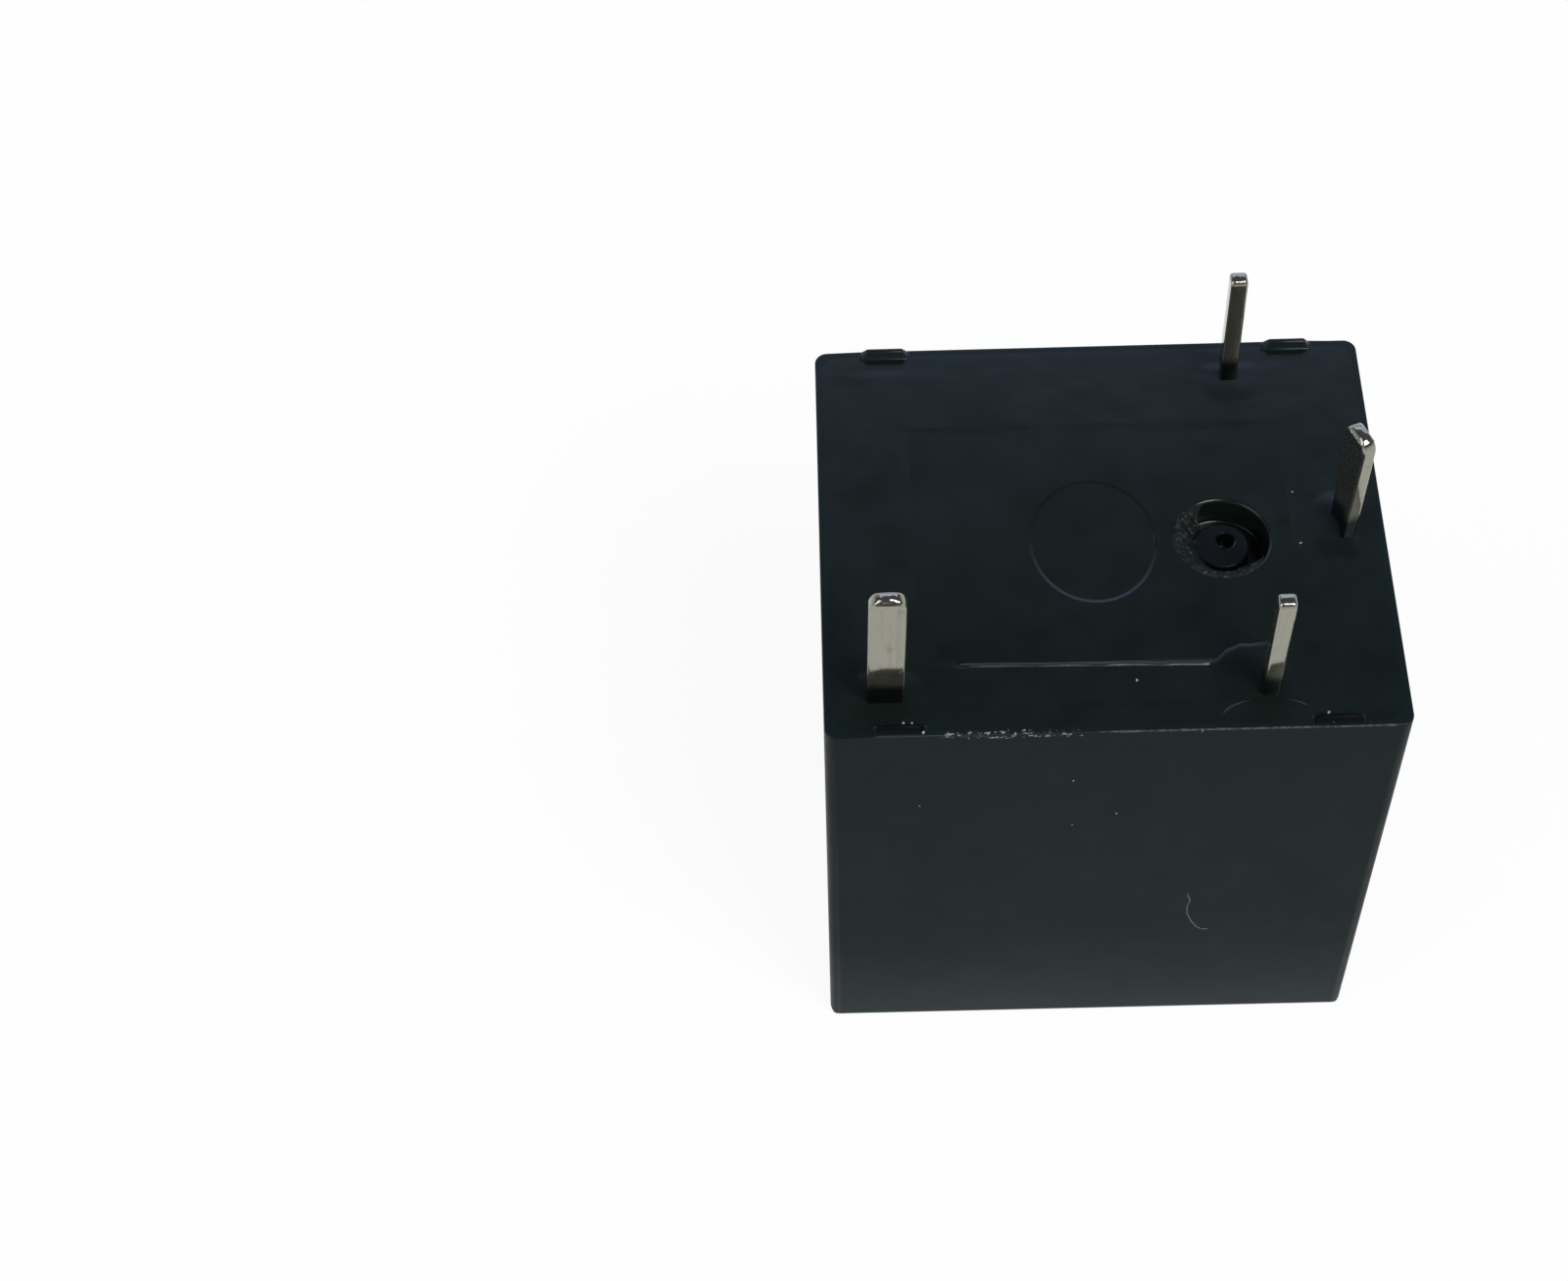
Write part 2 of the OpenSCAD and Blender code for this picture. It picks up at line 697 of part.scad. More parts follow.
module yoke() {
  foot_l = hinge_x - coil_x + foot_reach;
  color(iron) {
    difference() {
      union() {
        translate([hinge_x, 0, plate_z]) along_y(yoke_w) {
          rotate(180) angle_section(foot_l, plate_z - pole_z, yoke_t, yoke_bend_r);
        }
        pair_y((yoke_w - ear_w) / 2) {
          translate([yoke_x, -ear_w / 2, pole_z - ear_h]) cube([yoke_t, ear_w, ear_h + over]);
        }
      }
      translate([coil_x, 0, foot_z - over]) cylinder(r = neck_r + fit, h = yoke_t + 2 * over);
    }
    pair_y(yoke_stake_y) translate([hinge_x, 0, yoke_stake_z]) rotate([0, 90, 0]) stake(leaf_t);
    pair_y(common_stake_y) translate([hinge_x, 0, common_stake_z]) rotate([0, 90, 0]) stake(blade_t);
  }
}

module armature() {
  color(iron) released() {
    intersection() {
      along_y(armature_w + over) polygon([
        [nose_x, pole_z],
        [nose_x, leaf_z],
        [tongue_end_x - heel_chamfer, leaf_z],
        [tongue_end_x, leaf_z + heel_chamfer],
        [tongue_end_x, pole_z],
      ]);
      translate([0, 0, leaf_z - over]) linear_extrude(armature_t + 2 * over) polygon([
        [tongue_end_x + over, -tongue_w / 2],
        [tongue_end_x + over, tongue_w / 2],
        [shoulder_x, tongue_w / 2],
        [shoulder_x, armature_w / 2],
        [nose_x + nose_taper, armature_w / 2],
        [nose_x, armature_w / 2 - nose_taper],
        [nose_x, nose_taper - armature_w / 2],
        [nose_x + nose_taper, -armature_w / 2],
        [shoulder_x, -armature_w / 2],
        [shoulder_x, -tongue_w / 2],
      ]);
    }
    pair_y(armature_stake_y) translate([armature_stake_x, 0, leaf_z]) rotate([180, 0, 0]) stake(leaf_t);
  }
}

module contact_spring() {
  tip_x = contact_x - arm_w;
  color(bronze) difference() {
    intersection() {
      along_y(leaf_w) polygon(concat(
        [[hinge_x, leaf_top_z]],
        leaf_bend(leaf_bend_r),
        [released_point(tip_x, leaf_z), released_point(tip_x, leaf_z - leaf_t)],
        reversed(leaf_bend(leaf_bend_r + leaf_t)),
        [[hinge_x + leaf_t, leaf_top_z]]
      ));
      released() linear_extrude(body_h) {
        polygon([
          [body_l / 2, -leaf_w / 2],
          [body_l / 2, leaf_w / 2],
          [nose_x, leaf_w / 2],
          [nose_x - arm_taper_l, arm_w / 2],
          [contact_x, arm_w / 2],
          [contact_x, -arm_w / 2],
          [nose_x - arm_taper_l, -arm_w / 2],
          [nose_x, -leaf_w / 2],
        ]);
        translate([contact_x, 0]) circle(d = arm_w);
      }
    }
    translate([leaf_window_x, -leaf_window_w / 2, 0]) {
      cube([body_l / 2 - leaf_window_x, leaf_window_w, leaf_bend_z + leaf_window_rise]);
    }
    pair_y(yoke_stake_y) translate([hinge_x - over, 0, yoke_stake_z]) rotate([0, 90, 0]) {
      cylinder(r = stake_r + fit, h = leaf_t + 2 * over);
    }
    released() translate([0, 0, leaf_z - leaf_t - over]) {
      pair_y(armature_stake_y) translate([armature_stake_x, 0, 0]) {
        cylinder(r = stake_r + fit, h = leaf_t + 2 * over);
      }
      translate([contact_x, 0, 0]) cylinder(r = contact_shank_r + fit, h = leaf_t + 2 * over);
    }
  }
}

module moving_contact() {
  color(silver) released() translate([contact_x, 0, leaf_z]) contact_rivet(leaf_t);
}

module fixed_contact() {
  color(silver) translate([contact_x, 0, fixed_tab_z]) mirror([0, 0, 1]) contact_rivet(blade_t);
}

cover();
base();
sealing_resin();
normally_open_terminal();
common_terminal();
coil_terminal_front();
coil_terminal_rear();
bobbin();
coil_winding();
coil_lead_front();
coil_lead_rear();
core();
yoke();
armature();
contact_spring();
moving_contact();
fixed_contact();
back_stop();
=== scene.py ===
"""Looks of a sealed circuit-board relay that lies on its cover with its solder terminals up.

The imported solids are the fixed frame. The script softens the moulded and stamped pieces, pours the sealing
resin, winds the coil, adds the traces of making and handling, and gives every piece its own finish.
"""

import logging
import math
from collections.abc import Callable, Iterator, Mapping
from contextlib import contextmanager
from dataclasses import dataclass, field
from enum import Enum
from functools import partial
from random import Random
from typing import Union

import bpy
from mathutils import Matrix, Vector, noise


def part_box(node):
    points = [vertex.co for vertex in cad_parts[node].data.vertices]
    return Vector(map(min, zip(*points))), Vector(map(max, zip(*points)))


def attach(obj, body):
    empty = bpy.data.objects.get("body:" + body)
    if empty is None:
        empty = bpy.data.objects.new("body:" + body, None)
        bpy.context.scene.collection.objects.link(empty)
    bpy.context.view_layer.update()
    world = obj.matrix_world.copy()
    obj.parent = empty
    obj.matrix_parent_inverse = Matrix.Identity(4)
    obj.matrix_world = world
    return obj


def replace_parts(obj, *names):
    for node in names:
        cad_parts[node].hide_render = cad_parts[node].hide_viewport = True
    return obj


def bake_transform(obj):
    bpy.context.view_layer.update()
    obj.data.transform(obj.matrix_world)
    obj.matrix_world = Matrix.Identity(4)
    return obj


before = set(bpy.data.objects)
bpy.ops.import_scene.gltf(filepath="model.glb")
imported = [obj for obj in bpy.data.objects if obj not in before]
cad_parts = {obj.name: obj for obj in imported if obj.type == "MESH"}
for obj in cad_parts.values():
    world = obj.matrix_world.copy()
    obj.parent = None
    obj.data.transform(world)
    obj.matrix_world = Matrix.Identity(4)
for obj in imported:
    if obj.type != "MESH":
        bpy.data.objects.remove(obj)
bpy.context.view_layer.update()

MM = 0.001
RIM = 15.60 * MM
PANEL = RIM - 0.001 * MM
SOLID_MERGE = 0.0002 * MM
SHEET_MERGE = 0.00002 * MM
FLAT_ANGLE = math.radians(0.4)
SHARP_ANGLE = math.radians(30.0)
UPRIGHT = 0.1
LEVEL = 0.9
LOG = logging.getLogger("relay")

Colour = tuple[float, float, float]
Point = tuple[float, float, float]
Span = tuple[float, float]
Cells = tuple[int, int]
Line = tuple[Span, ...]
Box = tuple[Vector, Vector]
FaceTest = Callable[[bpy.types.MeshPolygon], bool]
Layer = Callable[[float, float], Vector]

EVEN: Point = (1.0, 1.0, 1.0)


class Body(Enum):
    """The bodies that the pieces ride on."""

    HOUSING = "housing"
    CLAPPER = "clapper"


class Slot(Enum):
    """The record's material slots; a new piece is passed one, but nothing uses it."""

    COVER = "cover_plastic"
    BASE = "base_plastic"
    RESIN = "resin"
    TIN = "tinned_brass"
    WIRE = "copper_wire"
    SPRING = "spring_bronze"


class Smooth(Enum):
    """The angles, in degrees, under which the faces of a kind of piece meet smoothly."""

    PANEL = 12.0
    EDGES = 40.0
    FLOWN = 60.0
    RAGGED = 70.0
    WOUND = 75.0
    ROUND = 80.0


class Value:
    """A number that changes over a surface; arithmetic on it adds Math nodes."""

    def __init__(self, shader: "Shader", socket: bpy.types.NodeSocket) -> None:
        """Wraps an output that gives a number, and the shader that it belongs to."""
        self.shader = shader
        self.socket = socket

    def math(self, operation: str, first: "Operand", second: "Operand" = 0.0) -> "Value":
        """Adds one Math node with one or two operands and gives its result."""
        node = self.shader.node("ShaderNodeMath", {"operation": operation}, {0: first, 1: second})
        return Value(self.shader, node.outputs[0])

    def __add__(self, other: "Operand") -> "Value":
        """Adds a number."""
        return self.math("ADD", self, other)

    def __radd__(self, other: "Operand") -> "Value":
        """Adds to a number."""
        return self.math("ADD", other, self)

    def __sub__(self, other: "Operand") -> "Value":
        """Subtracts a number."""
        return self.math("SUBTRACT", self, other)

    def __rsub__(self, other: "Operand") -> "Value":
        """Subtracts from a number."""
        return self.math("SUBTRACT", other, self)

    def __mul__(self, other: "Operand") -> "Value":
        """Multiplies by a number."""
        return self.math("MULTIPLY", self, other)

    def __rmul__(self, other: "Operand") -> "Value":
        """Multiplies a number."""
        return self.math("MULTIPLY", other, self)

    def __pow__(self, other: "Operand") -> "Value":
        """Raises to a power."""
        return self.math("POWER", self, other)

    def most(self, other: "Operand") -> "Value":
        """Takes the larger of two numbers."""
        return self.math("MAXIMUM", self, other)

    def step(self, low: float, high: float) -> "Value":
        """Maps a range smoothly onto 0 to 1.

        Args:
            low: The number that becomes 0.
            high: The number that becomes 1.

        Returns:
            The smooth step.
        """
        node = self.shader.node(
            "ShaderNodeMapRange",
            {"interpolation_type": "SMOOTHSTEP"},
            {"Value": self, "From Min": low, "From Max": high},
        )
        return Value(self.shader, node.outputs[0])


Operand = Union[Value, float]
Input = Union[Value, bpy.types.NodeSocket, float, tuple]
Skin = dict[str, Input]


class Shader:
    """One node tree, built from plain calls."""

    def __init__(self, tree: bpy.types.NodeTree) -> None:
        """Empties the node tree of a material or of the world, to fill it anew."""
        self.tree = tree
        self.tree.nodes.clear()

    @classmethod
    def material(cls, name: str) -> tuple[bpy.types.Material, "Shader"]:
        """Makes a material with an empty node tree.

        Args:
            name: The material's name.

        Returns:
            The material and the shader that fills it.
        """
        made = bpy.data.materials.new(name)
        made.use_nodes = True
        return made, cls(made.node_tree)

    def node(
        self, kind: str, settings: Mapping[str, object] = {}, inputs: Mapping[Union[str, int], Input] = {}
    ) -> bpy.types.Node:
        """Adds a node of any type.

        Args:
            kind: The node's type.
            settings: Its settings.
            inputs: Values or links for its sockets, by name or number.

        Returns:
            The node.
        """
        made = self.tree.nodes.new(kind)
        for key, setting in settings.items():
            setattr(made, key, setting)
        for key, given in inputs.items():
            given = given.socket if isinstance(given, Value) else given
            if isinstance(given, bpy.types.NodeSocket):
                self.tree.links.new(given, made.inputs[key])
            else:
                made.inputs[key].default_value = given
        return made

    def place(self, stretch: Point = EVEN) -> bpy.types.NodeSocket:
        """Gives the place on the object, in metres; a small factor draws a pattern out along its axis."""
        here = self.node("ShaderNodeTexCoord").outputs["Object"]
        return self.node("ShaderNodeMapping", {}, {"Vector": here, "Scale": stretch}).outputs[0]

    def axis(self, name: str) -> Value:
        """Gives one coordinate of the place on the object, in metres."""
        return Value(self, self.node("ShaderNodeSeparateXYZ", {}, {0: self.place()}).outputs[name])

    def grain(self, size: float, detail: float = 3.0, rough: float = 0.55, stretch: Point = EVEN) -> Value:
        """Gives cloudy variation round 0.5, with features of a size in metres and finer layers in them."""
        inputs = {"Vector": self.place(stretch), "Scale": 1.0 / size, "Detail": detail, "Roughness": rough}
        return Value(self, self.node("ShaderNodeTexNoise", {}, inputs).outputs[0])

    def mix(self, factor: Operand, low: Input, high: Input) -> bpy.types.NodeSocket:
        """Mixes two colours.

        Args:
            factor: 0 for the first colour, 1 for the second.
            low: The first colour.
            high: The second colour.

        Returns:
            The colour socket.
        """
        low, high = ((*c, 1.0) if isinstance(c, tuple) else c for c in (low, high))
        made = self.node("ShaderNodeMix", {"data_type": "RGBA"}, {"Factor": factor, 6: low, 7: high})
        return made.outputs[2]

    def bump(self, height: Value, depth: float) -> bpy.types.NodeSocket:
        """Turns a height from 0 to 1 into a normal, for the real depth of that range in metres."""
        inputs = {"Height": height, "Distance": depth, "Strength": 1.0}
        return self.node("ShaderNodeBump", {}, inputs).outputs[0]

    def surface(self, inputs: Mapping[str, Input]) -> None:
        """Ends the tree with a plain surface that has these values and links."""
        skin = self.node("ShaderNodeBsdfPrincipled", {}, inputs)
        self.node("ShaderNodeOutputMaterial", {}, {"Surface": skin.outputs[0]})


@dataclass(frozen=True)
class Finish:
    """One finish of the relay: a named material, given by its surface's sockets."""

    name: str

    def skin(self, shader: Shader) -> Skin:
        """Gives values and links for the surface's sockets, built in the shader's tree."""
        raise NotImplementedError

    def build(self) -> bpy.types.Material:
        """Builds the material.

        Returns:
            The material.
        """
        made, shader = Shader.material(self.name)
        shader.surface(self.skin(shader))
        return made


@dataclass(frozen=True)
class MouldedPlastic(Finish):
    """Black moulded plastic with a fine matte grain, faint flow clouds and a few rubbed spots."""

    colour: Colour
    cloud_colour: Colour
    rough: float
    gloss: float
    rough_change: float = 0.08
    grain_size: float = 0.07 * MM
    grain_depth: float = 0.0007 * MM
    cloud_size: float = 3.5 * MM
    cloud_range: Span = (0.3, 0.75)
    rub_size: float = 1.1 * MM
    rub_range: Span = (0.45, 0.8)

    def skin(self, shader: Shader) -> Skin:
        """Gives the grain, the clouds and the rubbed spots.

        Args:
            shader: The node tree to build in.

        Returns:
            Values and links for the surface's sockets.
        """
        clouds = shader.grain(self.cloud_size).step(*self.cloud_range)
        rubs = shader.grain(self.rub_size, detail=5.0, rough=0.6).step(*self.rub_range)
        return {
            "Base Color": shader.mix(clouds, self.colour, self.cloud_colour),
            "Roughness": self.rough + self.rough_change * (clouds - 0.5) - self.rough_change * rubs,
            "Specular IOR Level": self.gloss,
            "Normal": shader.bump(shader.grain(self.grain_size, detail=2.0), self.grain_depth),
        }


@dataclass(frozen=True)
class SealedCover(MouldedPlastic):
    """Cover plastic with a resin-coated rim, two dull dark standoffs, and walls painted paler towards the closed
    end: a painted reflection of the white floor.
    """

    rim_from: float = RIM - 0.03 * MM
    rim_coat: float = 0.6
    coat_rough: float = 0.23
    coat_ior: float = 1.34
    foot_to: float = 6.0 * MM
    painted_foot_colour: Colour = (0.0225, 0.0300, 0.0325)
    near_range: Span = (-MM, MM)
    dark_standoff_range: Span = (RIM + 0.01 * MM, RIM + 0.07 * MM)
    dark_standoff_share: float = 0.9
    dark_standoff_colour: Colour = (0.0012, 0.0022, 0.0022)

    def skin(self, shader: Shader) -> Skin:
        """Adds the coat on the rim, the dark near standoffs and the painted floor reflection that makes the walls
        paler towards the closed end.

        Args:
            shader: The node tree to build in.

        Returns:
            Values and links for the surface's sockets.
        """
        inputs = super().skin(shader)
        height = shader.axis("Z")
        # Painted reflection of the white floor: the walls grow paler towards the closed end, which lies on the
        # floor.
        foot = (1.0 - height * (1.0 / self.foot_to)).most(0.0) ** 2.0
        near = 1.0 - shader.axis("Y").step(*self.near_range)
        proud = near * height.step(*self.dark_standoff_range)
        # Mixes in the painted floor reflection.
        pale = shader.mix(foot, inputs["Base Color"], self.painted_foot_colour)
        # Darkens the standoffs on the near side above the rim.
        inputs["Base Color"] = shader.mix(self.dark_standoff_share * proud, pale, self.dark_standoff_colour)
        inputs["Coat Weight"] = self.rim_coat * (height.step(self.rim_from, RIM) - proud)
        return inputs | {"Coat Roughness": self.coat_rough, "Coat IOR": self.coat_ior}


@dataclass(frozen=True)
class VentedBase(MouldedPlastic):
    """Base plastic, with painted shade inside the vent well."""

    well: Point = (3.29 * MM, -0.35 * MM, PANEL - 0.03 * MM)
    well_r: float = 1.25 * MM
    wall_blur: float = 0.02 * MM
    top_blur: float = 0.03 * MM
    well_shade_share: float = 0.9
    well_shade_colour: Colour = (0.0016, 0.0024, 0.0026)

    def skin(self, shader: Shader) -> Skin:
        """Paints shade into the well.

        Args:
            shader: The node tree to build in.

        Returns:
            Values and links for the surface's sockets.
        """
        inputs = super().skin(shader)
        x, y, z = self.well
        reach = ((shader.axis("X") - x) ** 2.0 + (shader.axis("Y") - y) ** 2.0) ** 0.5
        # Painted shade: the deep inside of the vent well is darkened.
        deep = 1.0 - shader.axis("Z").step(z - self.top_blur, z)
        well_shaded = deep * (1.0 - reach.step(self.well_r, self.well_r + self.wall_blur))
        inputs["Base Color"] = shader.mix(self.well_shade_share * well_shaded, inputs["Base Color"], self.well_shade_colour)
        return inputs


@dataclass(frozen=True)
class TornPlastic(Finish):
    """Black plastic or resin that was melted or torn, with pale flecks: whitened plastic on the melted lip and the
    burr, painted glints on the smeared resin.
    """

    fleck_colour: Colour
    fleck_from: float
    colour: Colour = (0.0055, 0.0086, 0.0082)
    fleck_size: float = 0.20 * MM
    fleck_draw: Point = EVEN
    fleck_blur: float = 0.08
    fleck_depth: float = 0.006 * MM
    rough: float = 0.34
    rough_change: float = 0.25
    gloss: float = 0.18

    def skin(self, shader: Shader) -> Skin:
        """Gives the dark ground and its flecks.

        Args:
            shader: The node tree to build in.

        Returns:
            Values and links for the surface's sockets.
        """
        flecks = shader.grain(self.fleck_size, detail=2.0, rough=0.6, stretch=self.fleck_draw)
        # Pale flecks: whitened plastic on the melt and the burr; on the smeared resin they are painted glints.
        whitening_and_glints = flecks.step(self.fleck_from, self.fleck_from + self.fleck_blur)
        return {
            "Base Color": shader.mix(whitening_and_glints, self.colour, self.fleck_colour),
            "Roughness": self.rough + self.rough_change * whitening_and_glints,
            "Specular IOR Level": self.gloss,
            "Normal": shader.bump(flecks, self.fleck_depth),
        }


@dataclass(frozen=True)
class CuredResin(Finish):
    """Black casting resin, glossier than the plastic, with a slow sag and dull patches."""

    name: str = "cured_resin"
    colour: Colour = (0.0040, 0.0077, 0.0060)
    dust_colour: Colour = (0.0048, 0.0086, 0.0070)
    rough: float = 0.21
    rough_change: float = 0.05
    gloss: float = 0.26
    sag_size: float = 0.9 * MM
    sag_depth: float = 0.006 * MM
    dull_range: Span = (0.35, 0.7)

    def skin(self, shader: Shader) -> Skin:
        """Gives the sag and the dull patches, which are twice its size.

        Args:
            shader: The node tree to build in.

        Returns:
            Values and links for the surface's sockets.
        """
        dull = shader.grain(self.sag_size * 2.0, detail=4.0).step(*self.dull_range)
        return {
            "Base Color": shader.mix(dull, self.colour, self.dust_colour),
            "Roughness": self.rough + self.rough_change * dull,
            "Specular IOR Level": self.gloss,
            "Normal": shader.bump(shader.grain(self.sag_size, detail=2.0, rough=0.4), self.sag_depth),
        }


@dataclass(frozen=True)
class TinPlate(Finish):
    """Tin over brass: pale grey, drawn along the terminal, with smudges, dull streaks and a dark foot, a resin
    film with painted reflection of the dark resin.
    """

    name: str = "tin_plate"
    colour: Colour = (0.292, 0.288, 0.240)
    smudge_colour: Colour = (0.150, 0.147, 0.122)
    painted_foot_colour: Colour = (0.026, 0.036, 0.035)
    foot_top: float = 16.2 * MM
    foot_blur: float = 0.5 * MM
    rough: float = 0.08
    rough_change: float = 0.12
    streak_size: float = 0.09 * MM
    streak_draw: Point = (1.0, 1.0, 0.07)
    streak_range: Span = (0.45, 0.8)
    streak_share: float = 0.35
    streak_depth: float = 0.0022 * MM
    smudge_size: float = 0.42 * MM
    smudge_range: Span = (0.55, 0.78)
    smudge_share: float = 0.6
    metal: float = 0.90
    tip_from: float = 19.35 * MM
    tip_blur: float = 0.55 * MM
    lump_size: float = 0.26 * MM
    lump_depth: float = 0.03 * MM

    def skin(self, shader: Shader) -> Skin:
        """Gives the streaks and smudges, the lumps on the tip and the dark foot: a resin film with painted
        reflection of the dark resin.

        Args:
            shader: The node tree to build in.

        Returns:
            Values and links for the surface's sockets.
        """
        streaks = shader.grain(self.streak_size, rough=0.6, stretch=self.streak_draw)
        smudges = shader.grain(self.smudge_size, detail=5.0, rough=0.65).step(*self.smudge_range)
        tone = self.streak_share * streaks.step(*self.streak_range) + self.smudge_share * smudges
        height = shader.axis("Z")
        tip = height.step(self.tip_from, self.tip_from + self.tip_blur)
        uneven = shader.grain(self.lump_size, detail=2.0) * tip
        # Dark foot: a resin film wicked up the terminal, with painted reflection of the dark resin round it.
        foot = height.step(RIM - self.foot_blur, RIM)
        foot = foot * (1.0 - height.step(self.foot_top, self.foot_top + self.foot_blur))
        plate = shader.mix(tone, self.colour, self.smudge_colour)
        return {
            "Base Color": shader.mix(foot, plate, self.painted_foot_colour),
            "Metallic": self.metal,
            "Roughness": self.rough + self.rough_change * tone,
            "Normal": shader.bump(self.streak_depth * streaks + self.lump_depth * uneven, 1.0),
        }


@dataclass(frozen=True)
class NaturalPlastic(Finish):
    """Undyed moulded plastic of the bobbin, cloudy and a little yellow."""

    name: str = "natural_plastic"
    colour: Colour = (0.56, 0.51, 0.39)
    cloud_colour: Colour = (0.66, 0.62, 0.50)
    rough: float = 0.42
    rough_change: float = 0.1
    cloud_size: float = 1.6 * MM
    cloud_range: Span = (0.3, 0.7)
    grain_size: float = 0.06 * MM
    grain_depth: float = 0.0015 * MM
    milk: float = 0.08
    milk_depth: float = 0.3 * MM
    milk_colour: Colour = (1.0, 0.8, 0.5)

    def skin(self, shader: Shader) -> Skin:
        """Gives the clouds, the grain and the milky depth.

        Args:
            shader: The node tree to build in.

        Returns:
            Values and links for the surface's sockets.
        """
        clouds = shader.grain(self.cloud_size, detail=4.0)
        return {
            "Base Color": shader.mix(clouds.step(*self.cloud_range), self.colour, self.cloud_colour),
            "Roughness": self.rough + self.rough_change * clouds,
            "Subsurface Weight": self.milk,
            "Subsurface Radius": self.milk_colour,
            "Subsurface Scale": self.milk_depth,
            "Normal": shader.bump(shader.grain(self.grain_size), self.grain_depth),
        }


@dataclass(frozen=True)
class EnamelledWire(Finish):
    """Copper wire under clear enamel, each turn a little different."""

    name: str = "enamelled_wire"
    colour: Colour = (0.42, 0.125, 0.035)
    deep_colour: Colour = (0.25, 0.060, 0.018)
    metal: float = 0.85
    rough: float = 0.26
    rough_change: float = 0.12
    turn_size: float = 0.16 * MM
    turn_draw: Point = (0.04, 0.04, 1.0)
    turn_range: Span = (0.35, 0.7)
    turn_share: float = 0.6
    stain_size: float = 1.2 * MM
    stain_range: Span = (0.4, 0.7)
    stain_share: float = 0.4
    enamel: float = 0.6
    enamel_rough: float = 0.12

    def skin(self, shader: Shader) -> Skin:
        """Gives the turns, the stains and the enamel.

        Args:
            shader: The node tree to build in.

        Returns:
            Values and links for the surface's sockets.
        """
        turns = shader.grain(self.turn_size, detail=2.0, rough=0.5, stretch=self.turn_draw)
        stain = shader.grain(self.stain_size)
        tone = self.turn_share * turns.step(*self.turn_range) + self.stain_share * stain.step(*self.stain_range)
        return {
            "Base Color": shader.mix(tone, self.colour, self.deep_colour),
            "Metallic": self.metal,
            "Roughness": self.rough + self.rough_change * stain,
            "Coat Weight": self.enamel,
            "Coat Roughness": self.enamel_rough,
        }


@dataclass(frozen=True)
class PlatedMetal(Finish):
    """A plated or rolled metal sheet with brushed lines and a few stains."""

    colour: Colour
    stain_colour: Colour
    rough: float
    rough_change: float = 0.14
    line_size: float = 0.05 * MM
    line_draw: Point = (0.05, 1.0, 1.0)
    line_rough: float = 0.1
    line_depth: float = 0.0012 * MM
    stain_size: float = 1.4 * MM
    stain_range: Span = (0.5, 0.8)

    def skin(self, shader: Shader) -> Skin:
        """Gives the brushed lines and the stains.

        Args:
            shader: The node tree to build in.

        Returns:
            Values and links for the surface's sockets.
        """
        lines = shader.grain(self.line_size, rough=0.6, stretch=self.line_draw)
        stain = shader.grain(self.stain_size, detail=5.0, rough=0.6).step(*self.stain_range)
        return {
            "Base Color": shader.mix(stain, self.colour, self.stain_colour),
            "Metallic": 1.0,
            "Roughness": self.rough + self.rough_change * stain + self.line_rough * (lines - 0.5),
            "Normal": shader.bump(lines, self.line_depth),
        }


@dataclass(frozen=True)
class PaleLint(Finish):
    """Pale dust and lint that clings to the plastic."""

    name: str = "pale_lint"
    colour: Colour = (0.30, 0.31, 0.31)
    dark_colour: Colour = (0.16, 0.17, 0.17)
    rough: float = 0.7
    rough_change: float = 0.1
    grain_size: float = 0.05 * MM
    grain_range: Span = (0.3, 0.7)

    def skin(self, shader: Shader) -> Skin:
        """Gives the uneven tone of lint.

        Args:
            shader: The node tree to build in.

        Returns:
            Values and links for the surface's sockets.
        """
        tone = shader.grain(self.grain_size)
        return {
            "Base Color": shader.mix(tone.step(*self.grain_range), self.colour, self.dark_colour),
            "Roughness": self.rough + self.rough_change * tone,
        }


@dataclass(frozen=True)
class Finishes:
    """Every finish of the relay, made once and shared by the pieces."""

    cover: bpy.types.Material
    base: bpy.types.Material
    melted: bpy.types.Material
    smeared: bpy.types.Material
    resin: bpy.types.Material
    bead: bpy.types.Material
    tin: bpy.types.Material
    bobbin: bpy.types.Material
    wire: bpy.types.Material
    iron: bpy.types.Material
    bronze: bpy.types.Material
    silver: bpy.types.Material
    burr: bpy.types.Material
    lint: bpy.types.Material
    fibre: bpy.types.Material

    @classmethod
    def make(cls) -> "Finishes":
        """Builds all materials.

        Returns:
            The finishes.
        """
        kinds = {
            "cover": SealedCover(
                "cover_plastic", colour=(0.0033, 0.0083, 0.0084), cloud_colour=(0.0041, 0.0096, 0.0097),
                rough=0.44, gloss=0.05,
            ),
            "base": VentedBase(
                "base_plastic", colour=(0.0040, 0.0077, 0.0060), cloud_colour=(0.0048, 0.0087, 0.0070),
                rough=0.23, gloss=0.26, rough_change=0.05,
            ),
            "melted": TornPlastic("melted_plastic", (0.046, 0.056, 0.051), 0.61, rough=0.42, gloss=0.12),
            # The smeared resin's pale flecks are painted glints along the rim.
            "smeared": TornPlastic(
                "smeared_resin", (0.20, 0.205, 0.205), 0.53, fleck_size=0.13 * MM, fleck_draw=(0.5, 1.0, 1.0)
            ),
            "resin": CuredResin(),
            "bead": CuredResin("glossy_bead", rough=0.2, gloss=0.42),
            "tin": TinPlate(),
            "bobbin": NaturalPlastic(),
            "wire": EnamelledWire(),
            "iron": PlatedMetal("nickel_plate", (0.52, 0.50, 0.46), (0.36, 0.34, 0.31), 0.27),
            "bronze": PlatedMetal("rolled_bronze", (0.60, 0.36, 0.16), (0.42, 0.24, 0.10), 0.24),
            "silver": PlatedMetal("contact_silver", (0.80, 0.78, 0.73), (0.58, 0.55, 0.49), 0.20),
            "burr": TornPlastic("pale_burr", (0.060, 0.068, 0.070), 0.46, colour=(0.018, 0.022, 0.023)),
            "lint": PaleLint(),
            "fibre": PaleLint("grey_fibre", (0.115, 0.125, 0.120), (0.060, 0.068, 0.066)),
        }
        return cls(**{use: kind.build() for use, kind in kinds.items()})


